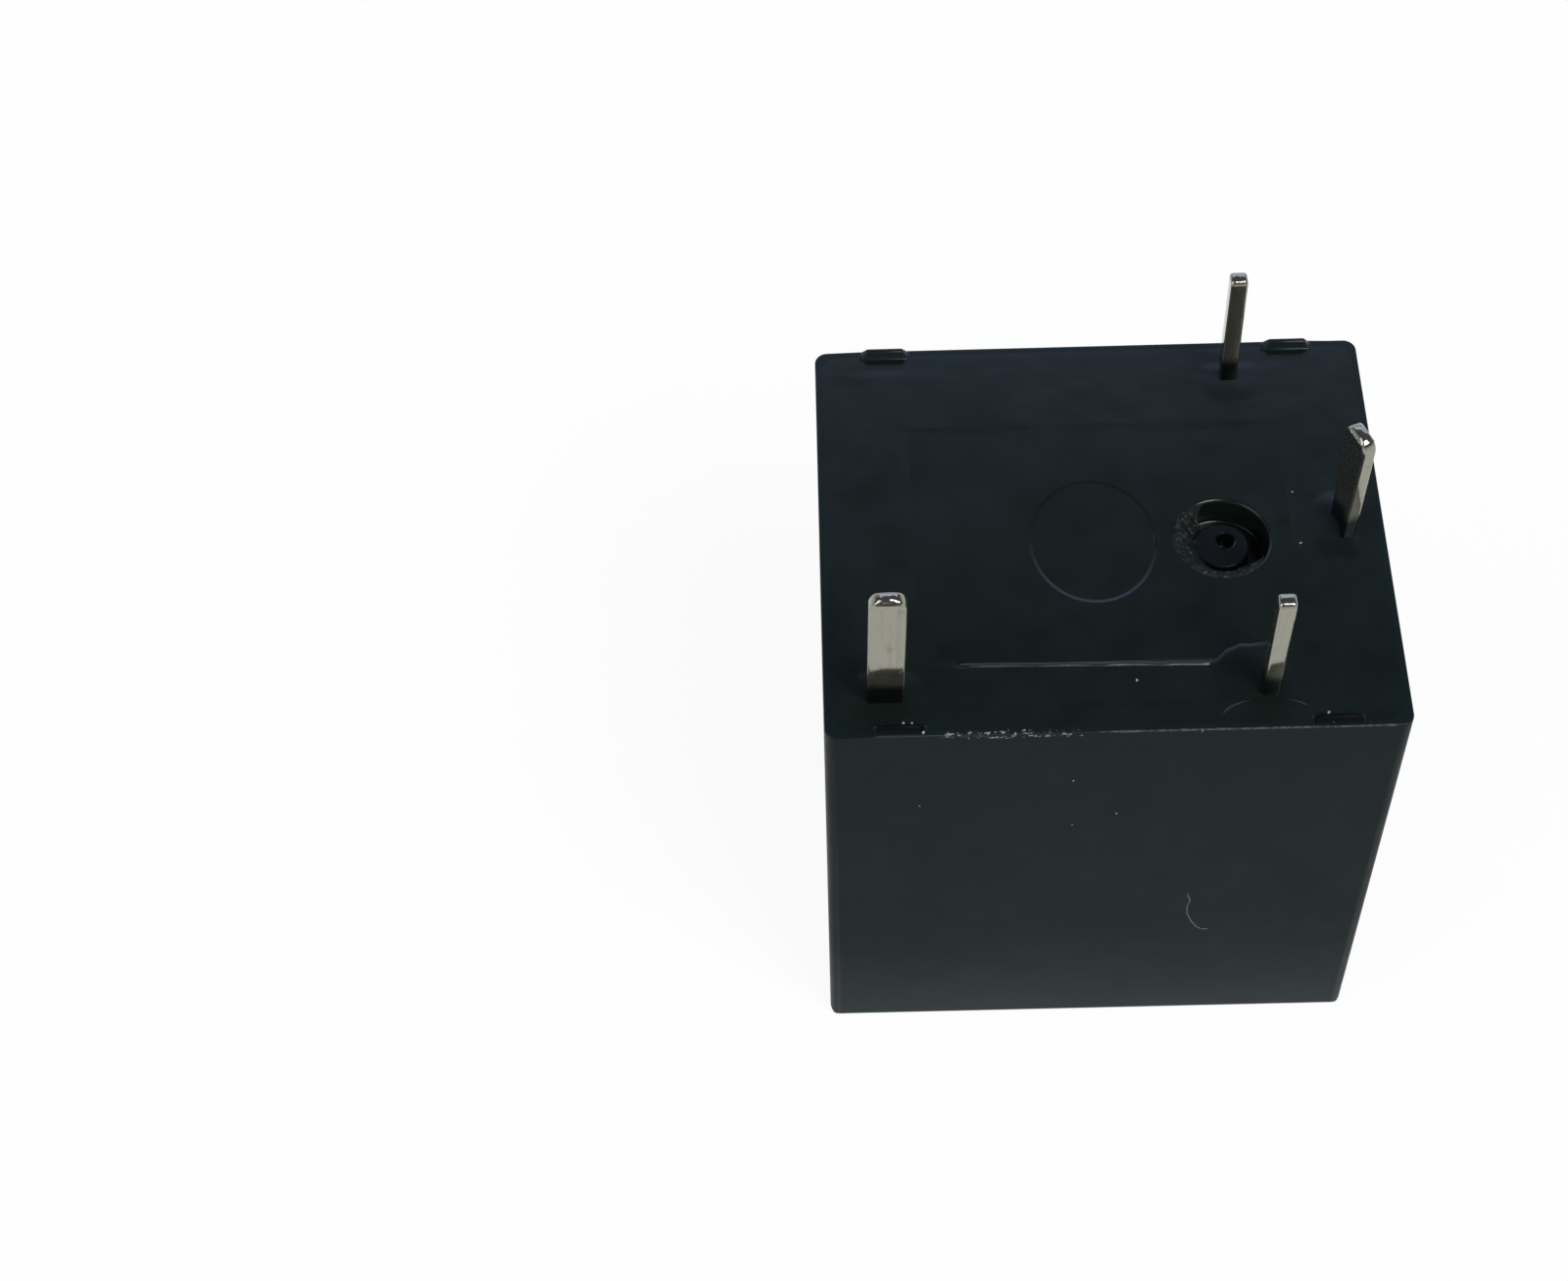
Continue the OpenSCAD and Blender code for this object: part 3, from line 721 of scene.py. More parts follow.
class Bench:
    """The modelling bench: operators that start from a clean selection."""

    @staticmethod
    def clear() -> None:
        """Deselects everything."""
        bpy.ops.object.select_all(action="DESELECT")

    @staticmethod
    def take(piece: bpy.types.Object) -> None:
        """Selects one piece alone and makes it active."""
        Bench.clear()
        bpy.context.view_layer.objects.active = piece
        piece.select_set(True)

    @staticmethod
    def put(name: str, data: bpy.types.ID) -> bpy.types.Object:
        """Puts a mesh, curve, lamp or camera into the scene.

        Args:
            name: The new object's name.
            data: What it holds.

        Returns:
            The object.
        """
        made = bpy.data.objects.new(name, data)
        bpy.context.scene.collection.objects.link(made)
        return made

    @staticmethod
    def added(name: str) -> bpy.types.Object:
        """Names the primitive that was just added and puts its place into its mesh.

        Args:
            name: The new piece's name.

        Returns:
            The piece.
        """
        piece = bpy.context.view_layer.objects.active
        piece.name = piece.data.name = name
        Bench.take(piece)
        bpy.ops.object.transform_apply(location=True, rotation=True, scale=True)
        return piece

    @staticmethod
    @contextmanager
    def edit(piece: bpy.types.Object, faces: FaceTest = lambda face: True) -> Iterator[None]:
        """Opens a piece in edit mode with some of its faces selected.

        Args:
            piece: The piece.
            faces: Tells which faces are selected.

        Yields:
            Nothing; operators act on the selection.
        """
        Bench.take(piece)
        bpy.context.tool_settings.mesh_select_mode = (False, False, True)
        for part in (piece.data.vertices, piece.data.edges):
            part.foreach_set("select", [False] * len(part))
        for face in piece.data.polygons:
            face.select = faces(face)
        bpy.ops.object.mode_set(mode="EDIT")
        yield
        bpy.ops.object.mode_set(mode="OBJECT")

    @staticmethod
    def apply(piece: bpy.types.Object, kind: str, settings: Mapping[str, object]) -> None:
        """Adds a modifier and applies it.

        Args:
            piece: The piece.
            kind: The modifier's type.
            settings: Its settings.
        """
        Bench.take(piece)
        modifier = piece.modifiers.new(kind.title(), kind)
        for key, setting in settings.items():
            setattr(modifier, key, setting)
        bpy.ops.object.modifier_apply(modifier=modifier.name)

    @staticmethod
    def copy_of(node: str, name: str) -> bpy.types.Object:
        """Makes a piece from a solid's mesh, merged, with its flat faces whole again.

        Args:
            node: The solid.
            name: The new piece's name.

        Returns:
            The piece.
        """
        piece = Bench.put(name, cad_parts[node].data.copy())
        piece.data.name = name
        with Bench.edit(piece):
            bpy.ops.mesh.remove_doubles(threshold=SOLID_MERGE)
            bpy.ops.mesh.dissolve_limited(angle_limit=FLAT_ANGLE)
        return piece

    @staticmethod
    def soften(piece: bpy.types.Object, width: float) -> None:
        """Rounds a piece's sharp edges.

        Args:
            piece: The piece.
            width: The width of the rounding.
        """
        settings = {
            "width": width, "segments": 2, "limit_method": "ANGLE", "angle_limit": SHARP_ANGLE,
            "use_clamp_overlap": False, "harden_normals": False,
        }
        Bench.apply(piece, "BEVEL", settings)

    @staticmethod
    def even(piece: bpy.types.Object) -> bpy.types.Object:
        """Keeps the shading of large flat faces even beside small rounded edges, and returns the piece."""
        Bench.apply(piece, "WEIGHTED_NORMAL", {"keep_sharp": True, "weight": 80})
        return piece

    @staticmethod
    def strip(name: str, cells: Cells, lay: Layer, thickness: float) -> bpy.types.Object:
        """Builds a closed sheet from a flat unit grid.

        Args:
            name: The sheet's name.
            cells: The grid's cells along and across.
            lay: Gives the place of a point from its shares, 0 to 1, along and across.
            thickness: How thick the sheet is below that surface.

        Returns:
            The sheet.
        """
        Bench.clear()
        bpy.ops.mesh.primitive_grid_add(x_subdivisions=cells[0], y_subdivisions=cells[1], size=1.0)
        sheet = Bench.added(name)
        Bench.shape(sheet, lambda point: lay(point.x + 0.5, point.y + 0.5))
        Bench.close(sheet)
        Bench.apply(sheet, "SOLIDIFY", {"thickness": thickness, "offset": -1.0})
        Bench.close(sheet)
        return sheet

    @staticmethod
    def shape(piece: bpy.types.Object, move: Callable[[Vector], Vector]) -> None:
        """Moves every point of a piece by a rule.

        Args:
            piece: The piece.
            move: Gives a point's new place.
        """
        for vertex in piece.data.vertices:
            vertex.co = move(vertex.co)
        piece.data.update()

    @staticmethod
    def close(piece: bpy.types.Object) -> None:
        """Merges a closed piece's doubles and turns its faces outwards.

        Args:
            piece: The piece.
        """
        with Bench.edit(piece):
            bpy.ops.mesh.remove_doubles(threshold=SHEET_MERGE)
            bpy.ops.mesh.select_all(action="SELECT")
            bpy.ops.mesh.normals_make_consistent(inside=False)

    @staticmethod
    def smooth(piece: bpy.types.Object, angle: Smooth) -> None:
        """Shades a piece smoothly where its faces meet at a small angle."""
        Bench.take(piece)
        bpy.ops.object.shade_smooth_by_angle(angle=math.radians(angle.value))

    @staticmethod
    def dress(
        piece: bpy.types.Object, finish: bpy.types.Material, slot: Slot, body: Body, smooth: Smooth = Smooth.EDGES
    ) -> bpy.types.Object:
        """Gives a new piece its finish and the body that it rides on.

        Args:
            piece: The piece.
            finish: Its material.
            slot: The record's slot for it; not used.
            body: The body that carries it.
            smooth: The angle under which its faces meet smoothly.

        Returns:
            The piece.
        """
        Bench.smooth(piece, smooth)
        Bench.paint(piece, finish)
        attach(piece, body.value)
        LOG.info("%s: %d faces on %s", piece.name, len(piece.data.polygons), body.value)
        return piece

    @staticmethod
    def paint(piece: bpy.types.Object, finish: bpy.types.Material) -> None:
        """Gives a piece or a solid one material."""
        piece.data.materials.clear()
        piece.data.materials.append(finish)

    @staticmethod
    def carry_over(node: str, finish: bpy.types.Material) -> None:
        """Keeps a solid as it is and gives it its finish."""
        Bench.paint(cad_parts[node], finish)
        LOG.info("%s: solid kept", node)


def ease(low: float, high: float, x: float) -> float:
    """Rises smoothly from 0 at one place to 1 at another."""
    t = min(1.0, max(0.0, (x - low) / (high - low)))
    return t * t * (3.0 - 2.0 * t)


def lumps(place: Vector, sizes: Span, share: float) -> float:
    """Gives lumps of a coarse and a fine size, round 0, the fine ones taken by a share."""
    return noise.noise(place / sizes[0]) + share * noise.noise(place / sizes[1])


def top_of(node: str, depth: float) -> Box:
    """Gives the box of a solid's points near its top.

    Args:
        node: The solid.
        depth: How far below its top the points may lie.

    Returns:
        The lowest and the highest corner.
    """
    points = [v.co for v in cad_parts[node].data.vertices]
    floor = max(p.z for p in points) - depth
    near = [p for p in points if p.z >= floor]
    low, high = (Vector(pick(p[i] for p in near) for i in range(3)) for pick in (min, max))
    return low, high


def inside(x: float, y: float, box: Box) -> float:
    """Gives how far a place lies inside a box, seen from above, negative outside."""
    low, high = box
    return min(x - low.x, high.x - x, y - low.y, high.y - y)


def beside(x: float, y: float, box: Box) -> float:
    """Gives how far a place lies outside a box, seen from above, 0 inside."""
    low, high = box
    return math.hypot(max(low.x - x, 0.0, x - high.x), max(low.y - y, 0.0, y - high.y))


@dataclass
class Housing:
    """The moulded cover and base, with softened edges and a vent whose lip was melted on one side."""

    cover_edge: float = 0.045 * MM
    base_edge: float = 0.05 * MM
    panel_depth: float = 0.2 * MM
    mark: Span = (-0.26 * MM, -0.35 * MM)
    mark_r: float = 1.85 * MM
    mark_draw: Span = (0.95, 1.13)
    mark_slope: float = 0.09 * MM
    mark_depth: float = 0.016 * MM
    mark_fade: Span = (0.6, 0.4)
    vent: Span = (3.29 * MM, -0.35 * MM)
    vent_r: float = 1.27 * MM
    vent_edge: float = 0.10 * MM
    vent_segments: int = 8
    dimple_r: float = 0.30 * MM
    dimple_shift: Point = (0.13 * MM, 0.16 * MM, 0.0)
    melt_from: float = 108.0
    melt_to: float = 328.0
    melt_blur: float = 30.0
    melt_deepest: float = 190.0
    melt_spread: float = 48.0
    melt_out: float = 0.11 * MM
    melt_in: float = 0.40 * MM
    melt_most: float = 0.22 * MM
    melt_least: float = 0.02 * MM
    melt_fall: float = 0.40 * MM
    melt_curve: float = 1.4
    rag_waves: Span = (6.0, 15.0)
    rag_share: float = 0.6
    rag_depth: float = 0.45
    lump_sizes: Span = (0.17 * MM, 0.075 * MM)
    lump_share: float = 0.55
    lump_rise: float = 0.085 * MM
    lip_rise: float = 0.025 * MM
    lip_sunk: float = 0.012 * MM
    lip_start: float = 0.06
    lip_cells: Cells = (220, 30)
    lip_thick: float = 0.08 * MM
    standoff_faces: tuple[Point, ...] = (
        (15.60 * MM, 6.05 * MM, 6.30 * MM), (15.88 * MM, 6.25 * MM, 6.34 * MM),
    )
    slack: float = 0.01 * MM
    panel_top: float = field(init=False)

    def __post_init__(self) -> None:
        """Measures the base."""
        self.panel_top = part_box("base")[1].z

    def build(self, finishes: Finishes) -> None:
        """Builds the cover, the base and the vent's melted lip.

        Args:
            finishes: The relay's finishes.
        """
        cover = Bench.copy_of("cover", "cover_shell")
        Bench.shape(cover, self.steepen)
        Bench.soften(cover, self.cover_edge)
        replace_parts(Bench.even(Bench.dress(cover, finishes.cover, Slot.COVER, Body.HOUSING)), "cover")
        base = Bench.copy_of("base", "base_moulding")
        Bench.shape(base, self.settle)
        with Bench.edit(base, self.on_slope):
            bpy.ops.mesh.region_to_loop()
            bpy.ops.mesh.mark_sharp()
        with Bench.edit(base, self.on_vent_wall):
            bpy.ops.mesh.region_to_loop()
            bpy.ops.mesh.bevel(offset=self.vent_edge, segments=self.vent_segments, affect="EDGES")
        Bench.soften(base, self.base_edge)
        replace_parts(Bench.even(Bench.dress(base, finishes.base, Slot.BASE, Body.HOUSING, Smooth.PANEL)), "base")
        lip = Bench.strip("vent_lip", self.lip_cells, self.melt, self.lip_thick)
        Bench.dress(lip, finishes.melted, Slot.BASE, Body.HOUSING, Smooth.FLOWN)

    def settle(self, point: Vector) -> Vector:
        """Brings the panel level with the rim and turns the upright wall of its round mark into a gentle slope.

        Args:
            point: A point of the base.

        Returns:
            Its new place.
        """
        arm = Vector((point.x - self.mark[0], point.y - self.mark[1], 0.0))
        drop = self.panel_top - point.z
        if math.hypot(point.x - self.vent[0], point.y - self.vent[1]) < self.dimple_r:
            return point + Vector(self.dimple_shift)
        if drop > self.panel_depth:
            return point
        if abs(arm.length - self.mark_r) > 2.0 * self.slack:
            return Vector((point.x, point.y, PANEL - drop))
        low = drop > self.slack
        arm *= 1.0 - (self.mark_slope / self.mark_r if low else 0.0)
        x, y = self.mark[0] + arm.x * self.mark_draw[0], self.mark[1] + arm.y * self.mark_draw[1]
        near = self.mark_fade[0] - self.mark_fade[1] * arm.y / arm.length
        return Vector((x, y, PANEL - (self.mark_depth * near if low else 0.0)))

    def steepen(self, point: Vector) -> Vector:
        """Draws the inner slope of each standoff outwards.

        Args:
            point: A point of the cover.

        Returns:
            Its new place.
        """
        for height, reach, new_reach in self.standoff_faces:
            if abs(point.z - height) < self.slack and abs(abs(point.y) - reach) < self.slack:
                return Vector((point.x, math.copysign(new_reach, point.y), point.z))
        return point

    def on_vent_wall(self, face: bpy.types.MeshPolygon) -> bool:
        """Tells whether a face belongs to the vent well's round wall."""
        away = math.hypot(face.center.x - self.vent[0], face.center.y - self.vent[1])
        return abs(face.normal.z) < UPRIGHT and abs(away - self.vent_r) < 5.0 * self.slack

    def on_slope(self, face: bpy.types.MeshPolygon) -> bool:
        """Tells whether a face belongs to the round mark's slope."""
        x, y = ((face.center[i] - self.mark[i]) / self.mark_draw[i] for i in range(2))
        shallow = PANEL - face.center.z < self.mark_depth
        return shallow and abs(self.mark_r - math.hypot(x, y)) < self.mark_slope

    def melt(self, along: float, across: float) -> Vector:
        """Lays the melted lip: it spills a little over the panel and slumps into the well.

        Args:
            along: The share of the way round the melted side.
            across: The share of the way from the panel into the well.

        Returns:
            The place on the lip.
        """
        turn = self.melt_from + along * (self.melt_to - self.melt_from)
        full = ease(0.0, self.melt_blur, turn - self.melt_from) * ease(0.0, self.melt_blur, self.melt_to - turn)
        out = Vector((math.cos(math.radians(turn)), math.sin(math.radians(turn)), 0.0))
        swell = math.exp(-(((turn - self.melt_deepest) / self.melt_spread) ** 2))
        deep = self.melt_in + self.melt_most * swell
        wide, fine = (noise.noise(out * wave) for wave in self.rag_waves)
        reach = full * deep * (1.0 + self.rag_depth * (wide + self.rag_share * fine))
        spill = self.melt_out * full
        inward = across * (spill + reach + self.melt_least) - spill
        place = Vector((*self.vent, PANEL)) + out * (self.vent_r - inward)
        lump = lumps(place, self.lump_sizes, self.lump_share)
        edge = math.sin(math.pi * min(1.0, self.lip_start + across))
        rise = full * (self.lip_rise + self.lump_rise * lump) * edge - self.lip_sunk
        fall = self.melt_fall * (max(0.0, inward) / deep) ** self.melt_curve
        return place + Vector((0.0, 0.0, rise - fall))


@dataclass
class ResinSeal:
    """The resin poured flush between base and cover, feathered out on the rim and on the panel's edges."""

    cell: float = 0.08 * MM
    depth: float = 0.9 * MM
    skin: float = 0.0016 * MM
    sink: float = 0.03 * MM
    rim_lap: float = 0.62 * MM
    corner_in: float = 0.20 * MM
    corner_r: float = 0.76 * MM
    panel_lap: float = 0.60 * MM
    panel_feather: float = 0.9
    panel_slack: float = 0.01 * MM
    mound_rises: tuple[tuple[str, float], ...] = (
        ("normally_open_terminal", 0.02 * MM),
        ("common_terminal", 0.02 * MM),
        ("coil_terminal_front", 0.012 * MM),
        ("coil_terminal_rear", 0.01 * MM),
    )
    mound_reach: float = 0.62 * MM
    pin_depth: float = 3.0 * MM
    calm_width: float = 0.3 * MM
    wave_size: float = 1.3 * MM
    wave_rise: float = 0.006 * MM
    film_rise: float = 0.015 * MM
    film_edge: float = 0.09 * MM
    film_dip: float = 0.5
    film_swell: float = 0.55 * MM
    film_fade: Span = (3.6 * MM, 4.6 * MM)
    film_lost: float = 0.9
    film_line: Line = (
        (2.60, -4.48), (3.01, -4.02), (3.41, -3.87), (4.07, -3.83), (4.32, -3.67), (4.80, -3.60), (5.45, -3.40),
        (7.05, -3.20),
    )
    ripple_rise: float = 0.05 * MM
    ripple_size: float = 0.3 * MM
    bead_line: Line = ((-4.20, -4.38), (2.72, -4.50))
    bead_rise: float = 0.034 * MM
    foot_line: Line = (
        (2.72, -6.16), (2.98, -5.92), (3.35, -5.76), (4.05, -5.66), (4.60, -5.74), (5.02, -5.94),
    )
    foot_rise: float = 0.014 * MM
    bead_cells: Cells = (240, 12)
    bead_thick: float = 0.06 * MM
    bead_width: float = 0.17 * MM
    bead_ends: Span = (0.06, 0.04)
    bead_sunk: float = 0.004 * MM
    drift_size: float = 0.8 * MM
    drift_rise: float = 0.3
    drift_side: float = 0.02 * MM
    trough: Box = field(init=False)
    panel: Box = field(init=False)
    mounds: list[tuple[Box, float]] = field(init=False)

    def __post_init__(self) -> None:
        """Measures the trough, the panel and the terminals."""
        self.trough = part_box("sealing_resin")
        self.panel = top_of("base", self.panel_slack)
        self.mounds = [(top_of(pin, self.pin_depth), rise) for pin, rise in self.mound_rises]

    def build(self, finishes: Finishes) -> None:
        """Pours the resin in place of its plain solid and draws its beads on the panel's edge and at a pin's foot.

        Args:
            finishes: The relay's finishes.
        """
        seal = self.ring()
        Bench.shape(seal, self.settle)
        Bench.close(seal)
        Bench.dress(seal, finishes.resin, Slot.RESIN, Body.HOUSING, Smooth.FLOWN)
        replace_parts(seal, "sealing_resin")
        beads = (
            ("panel_bead", self.bead_line, self.bead_rise),
            ("foot_bead", self.foot_line, self.foot_rise),
        )
        for name, line, rise in beads:
            lay = partial(self.draw_bead, line=line, rise=rise)
            bead = Bench.strip(name, self.bead_cells, lay, self.bead_thick)
            Bench.dress(bead, finishes.bead, Slot.RESIN, Body.HOUSING, Smooth.FLOWN)

    def ring(self) -> bpy.types.Object:
        """Builds an even slab round the panel, fine enough to take the resin's surface.

        Returns:
            The slab.
        """
        low, high = self.trough
        middle, size = (low + high) / 2.0, high - low + Vector((2.0, 2.0, 0.0)) * self.rim_lap
        Bench.clear()
        bpy.ops.mesh.primitive_grid_add(
            x_subdivisions=round(size.x / self.cell), y_subdivisions=round(size.y / self.cell),
            size=1.0, location=(middle.x, middle.y, self.panel[1].z),
        )
        bpy.context.view_layer.objects.active.scale = (size.x, size.y, 1.0)
        seal = Bench.added("resin_seal")
        with Bench.edit(seal, lambda face: self.under_panel(face.center)):
            bpy.ops.mesh.delete(type="FACE")
        with Bench.edit(seal):
            bpy.ops.mesh.extrude_region_move(TRANSFORM_OT_translate={"value": (0.0, 0.0, -self.depth)})
        return seal

    def under_panel(self, place: Vector) -> bool:
        """Tells whether a place lies so far inside the panel that no resin reaches it."""
        bare = inside(place.x, place.y, self.panel) > self.panel_lap
        return bare and self.film_at(place.x, place.y) < -self.panel_lap

    def film_at(self, x: float, y: float) -> float:
        """Gives how far a place lies inside the lapped film's outline.

        Args:
            x: The place along the length.
            y: The place across.

        Returns:
            The distance across, negative outside.
        """
        line = [(px * MM, py * MM) for px, py in self.film_line]
        if x <= line[0][0]:
            return min(line[0][1] - y, x - line[0][0])
        for (x0, y0), (x1, y1) in zip(line, line[1:]):
            if x <= x1:
                break
        edge = y0 + (y1 - y0) * (x - x0) / (x1 - x0)
        ripple = self.ripple_rise * noise.noise(Vector((x, 0.0, 0.0)) / self.ripple_size)
        return (edge + ripple - y) / math.hypot(1.0, (y1 - y0) / (x1 - x0))

    def settle(self, point: Vector) -> Vector:
        """Raises or lowers one point of the slab's top, and keeps the slab inside the cover's round corners.

        Args:
            point: The point on the even slab.

        Returns:
            The point on the resin's surface.
        """
        corner = self.trough[1]
        arm = Vector((abs(point.x) - corner.x, abs(point.y) - corner.y, 0.0))
        arm += Vector((1.0, 1.0, 0.0)) * self.corner_in
        x, y = point.x, point.y
        if min(arm.x, arm.y) > 0.0 and arm.length > self.corner_r:
            arm *= self.corner_r / arm.length
            x = math.copysign(corner.x - self.corner_in + arm.x, x)
            y = math.copysign(corner.y - self.corner_in + arm.y, y)
        under = point.z < self.panel[1].z - self.depth / 2.0
        return Vector((x, y, point.z if under else self.height(x, y)))

    def height(self, x: float, y: float) -> float:
        """Gives the height of the resin's surface.

        Args:
            x: The place along the length.
            y: The place across.

        Returns:
            The height over the closed face.
        """
        wall = inside(x, y, self.trough)
        if wall < 0.0:
            return RIM + self.skin * (1.0 - 2.0 * (wall / self.rim_lap) ** 4)
        within = inside(x, y, self.panel)
        rise = self.film_rise * (1.0 - self.film_lost * ease(*self.film_fade, x))
        film = ease(0.0, self.film_edge, self.film_at(x, y))
        lapped = PANEL + rise * ((1.0 + self.film_dip) * film - self.film_dip)
        if within > 0.0:
            bare = y - self.panel[0].y <= within and x > self.bead_line[0][0] * MM
            flow = PANEL + self.skin * (1.0 - 2.0 * ease(0.0, self.panel_feather * self.panel_lap, within))
            return max(lapped, PANEL - self.sink if bare else flow)
        flow = RIM + self.skin
        calm = ease(0.0, self.calm_width, wall)
        flow += calm * self.wave_rise * max(0.0, noise.noise(Vector((x, y, 0.0)) / self.wave_size))
        for pin, mound in self.mounds:
            near = beside(x, y, pin) / self.mound_reach
            flow += calm * mound * max(0.0, 1.0 - near * near)
        return flow + max(0.0, lapped - flow) * math.exp(within / self.film_swell)

    def draw_bead(self, along: float, across: float, line: Line, rise: float) -> Vector:
        """Lays a thin bead along a line.

        Args:
            along: The share of its length.
            across: The share of its width.
            line: The bead's corners, in millimetres.
            rise: Its height.

        Returns:
            The place on the bead.
        """
        part = min(len(line) - 2, int(along * (len(line) - 1)))
        (x0, y0), (x1, y1) = line[part:part + 2]
        share = along * (len(line) - 1) - part
        x, y = (x0 + share * (x1 - x0)) * MM, (y0 + share * (y1 - y0)) * MM
        drift = noise.noise(Vector((x, 0.0, 0.0)) / self.drift_size)
        start, end = self.bead_ends
        ends = ease(0.0, start, along) * ease(0.0, end, 1.0 - along)
        swell = rise * ends * (1.0 + self.drift_rise * drift) * math.sin(math.pi * across) ** 2
        y += (across - 0.5) * self.bead_width + self.drift_side * drift
        return Vector((x, y, PANEL + swell - self.bead_sunk))


@dataclass
class Terminals:
    """The four solder terminals, stamped from tinned brass strip."""

    edge: float = 0.07 * MM
    straight: float = 1.5 * MM
    turned_by: float = 0.35
    ways: tuple[tuple[str, str, float, Point], ...] = (
        ("normally_open_terminal", "make_blade", 0.0, (0.10 * MM, 0.0, 0.0)),
        ("common_terminal", "common_blade", 23.0, (0.0, 0.0, 0.0)),
        ("coil_terminal_front", "front_coil_pin", 0.0, (0.03 * MM, 0.0, 0.0)),
        ("coil_terminal_rear", "rear_coil_pin", 0.0, (-0.12 * MM, 0.18 * MM, 0.0)),
    )

    def build(self, finishes: Finishes) -> None:
        """Builds each terminal with rounded edges, slightly turned or leaning, in place of its solid.

        Args:
            finishes: The relay's finishes.
        """
        for node, name, turn, lean in self.ways:
            terminal = Bench.copy_of(node, name)
            Bench.soften(terminal, self.edge)
            low, high = top_of(node, self.straight)
            foot = Vector(((low.x + high.x) / 2.0, (low.y + high.y) / 2.0, RIM))
            Bench.shape(terminal, partial(
                self.bend, foot=foot, length=high.z - RIM, turn=math.radians(turn), lean=Vector(lean)
            ))
            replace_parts(Bench.even(Bench.dress(terminal, finishes.tin, Slot.TIN, Body.HOUSING)), node)
            terminal.visible_glossy = False

    def bend(self, point: Vector, foot: Vector, length: float, turn: float, lean: Vector) -> Vector:
        """Turns a terminal's point about its own line and leans it, above the rim only.

        Args:
            point: A point of the terminal.
            foot: Where the terminal leaves the rim.
            length: Its length above the rim.
            turn: The turn in radians.
            lean: How far its tip moves.

        Returns:
            The point's new place.
        """
        height = max(0.0, (point.z - foot.z) / length)
        spin = Matrix.Rotation(turn * ease(0.0, self.turned_by, height), 3, "Z")
        return foot + spin @ (point - foot) + lean * height


@dataclass
class Coil:
    """The coil on its bobbin, the core and yoke that carry its field, and the fixed contact side."""

    turns: int = 52
    sides: int = 64
    bulge: float = 0.035 * MM
    edge: float = 0.30 * MM
    bore_r: float = 3.60 * MM
    box: Box = field(init=False)

    def __post_init__(self) -> None:
        """Measures the winding."""
        self.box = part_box("coil_winding")

    def build(self, finishes: Finishes) -> None:
        """Winds the coil and dresses the solids round it.

        Args:
            finishes: The relay's finishes.
        """
        coil = Bench.dress(self.winding(), finishes.wire, Slot.WIRE, Body.HOUSING, Smooth.WOUND)
        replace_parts(coil, "coil_winding")
        kept = {
            "bobbin": finishes.bobbin,
            "coil_lead_front": finishes.wire,
            "coil_lead_rear": finishes.wire,
            "core": finishes.iron,
            "yoke": finishes.iron,
            "fixed_contact": finishes.silver,
            "back_stop": finishes.tin,
        }
        for node, finish in kept.items():
            Bench.carry_over(node, finish)

    def winding(self) -> bpy.types.Object:
        """Builds the winding as a tube that is cut into turns, with a ridge on each turn.

        Returns:
            The winding.
        """
        low, high = self.box
        middle, outer = (low + high) / 2.0, (high.x - low.x) / 2.0
        Bench.clear()
        bpy.ops.mesh.primitive_cylinder_add(
            vertices=self.sides, radius=outer - self.bulge, depth=high.z - low.z, end_fill_type="NGON",
            location=middle,
        )
        coil = Bench.added("winding_turns")
        with Bench.edit(coil, self.on_end):
            bpy.ops.mesh.inset(thickness=outer - self.bulge - self.bore_r)
        axis = (middle, middle)
        with Bench.edit(coil, lambda face: self.on_end(face) and beside(*face.center.xy, axis) < MM):
            bpy.ops.mesh.bridge_edge_loops()
        with Bench.edit(coil):
            for cut in range(1, 2 * self.turns):
                bpy.ops.mesh.select_all(action="SELECT")
                level = low.z + (high.z - low.z) * cut / (2 * self.turns)
                bpy.ops.mesh.bisect(plane_co=(middle.x, middle.y, level), plane_no=(0.0, 0.0, 1.0))
        Bench.shape(coil, self.ridge)
        Bench.close(coil)
        return coil

    @staticmethod
    def on_end(face: bpy.types.MeshPolygon) -> bool:
        """Tells whether a face lies on an end of the winding."""
        return abs(face.normal.z) > LEVEL

    def ridge(self, point: Vector) -> Vector:
        """Lifts the middle of each turn on the outside and draws in the winding's ends.

        Args:
            point: A point of the winding.

        Returns:
            Its new place.
        """
        low, high = self.box
        middle, outer = (low + high) / 2.0, (high.x - low.x) / 2.0
        arm = Vector((point.x - middle.x, point.y - middle.y, 0.0))
        if arm.length < (outer + self.bore_r) / 2.0:
            return point
        pitch = (high.z - low.z) / self.turns
        wave = 0.5 - 0.5 * math.cos(2.0 * math.pi * (point.z - low.z) / pitch)
        end = min(point.z - low.z, high.z - point.z)
        drawn = self.edge * (1.0 - ease(0.0, self.edge, end))
        return point + arm.normalized() * (self.bulge * wave - drawn)


@dataclass
class Clapper:
    """The moving side: the armature and the contact spring, whose bend flexes at the hinge."""

    bend_start: Point = (6.52 * MM, 0.0, 3.80 * MM)
    bend_end: Point = (5.70 * MM, 0.0, 2.75 * MM)

    def build(self, finishes: Finishes) -> None:
        """Dresses the armature and the contact, and puts a smoothed bronze copy in place of the spring.

        Args:
            finishes: The relay's finishes.
        """
        Bench.carry_over("armature", finishes.iron)
        Bench.carry_over("moving_contact", finishes.silver)
        leaf = Bench.copy_of("contact_spring", "spring_leaf")
        Bench.smooth(leaf, Smooth.EDGES)
        Bench.paint(leaf, finishes.bronze)
        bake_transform(leaf)
        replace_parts(leaf, "contact_spring")
        LOG.info("%s: bends from %s to %s", leaf.name, Body.HOUSING.value, Body.CLAPPER.value)


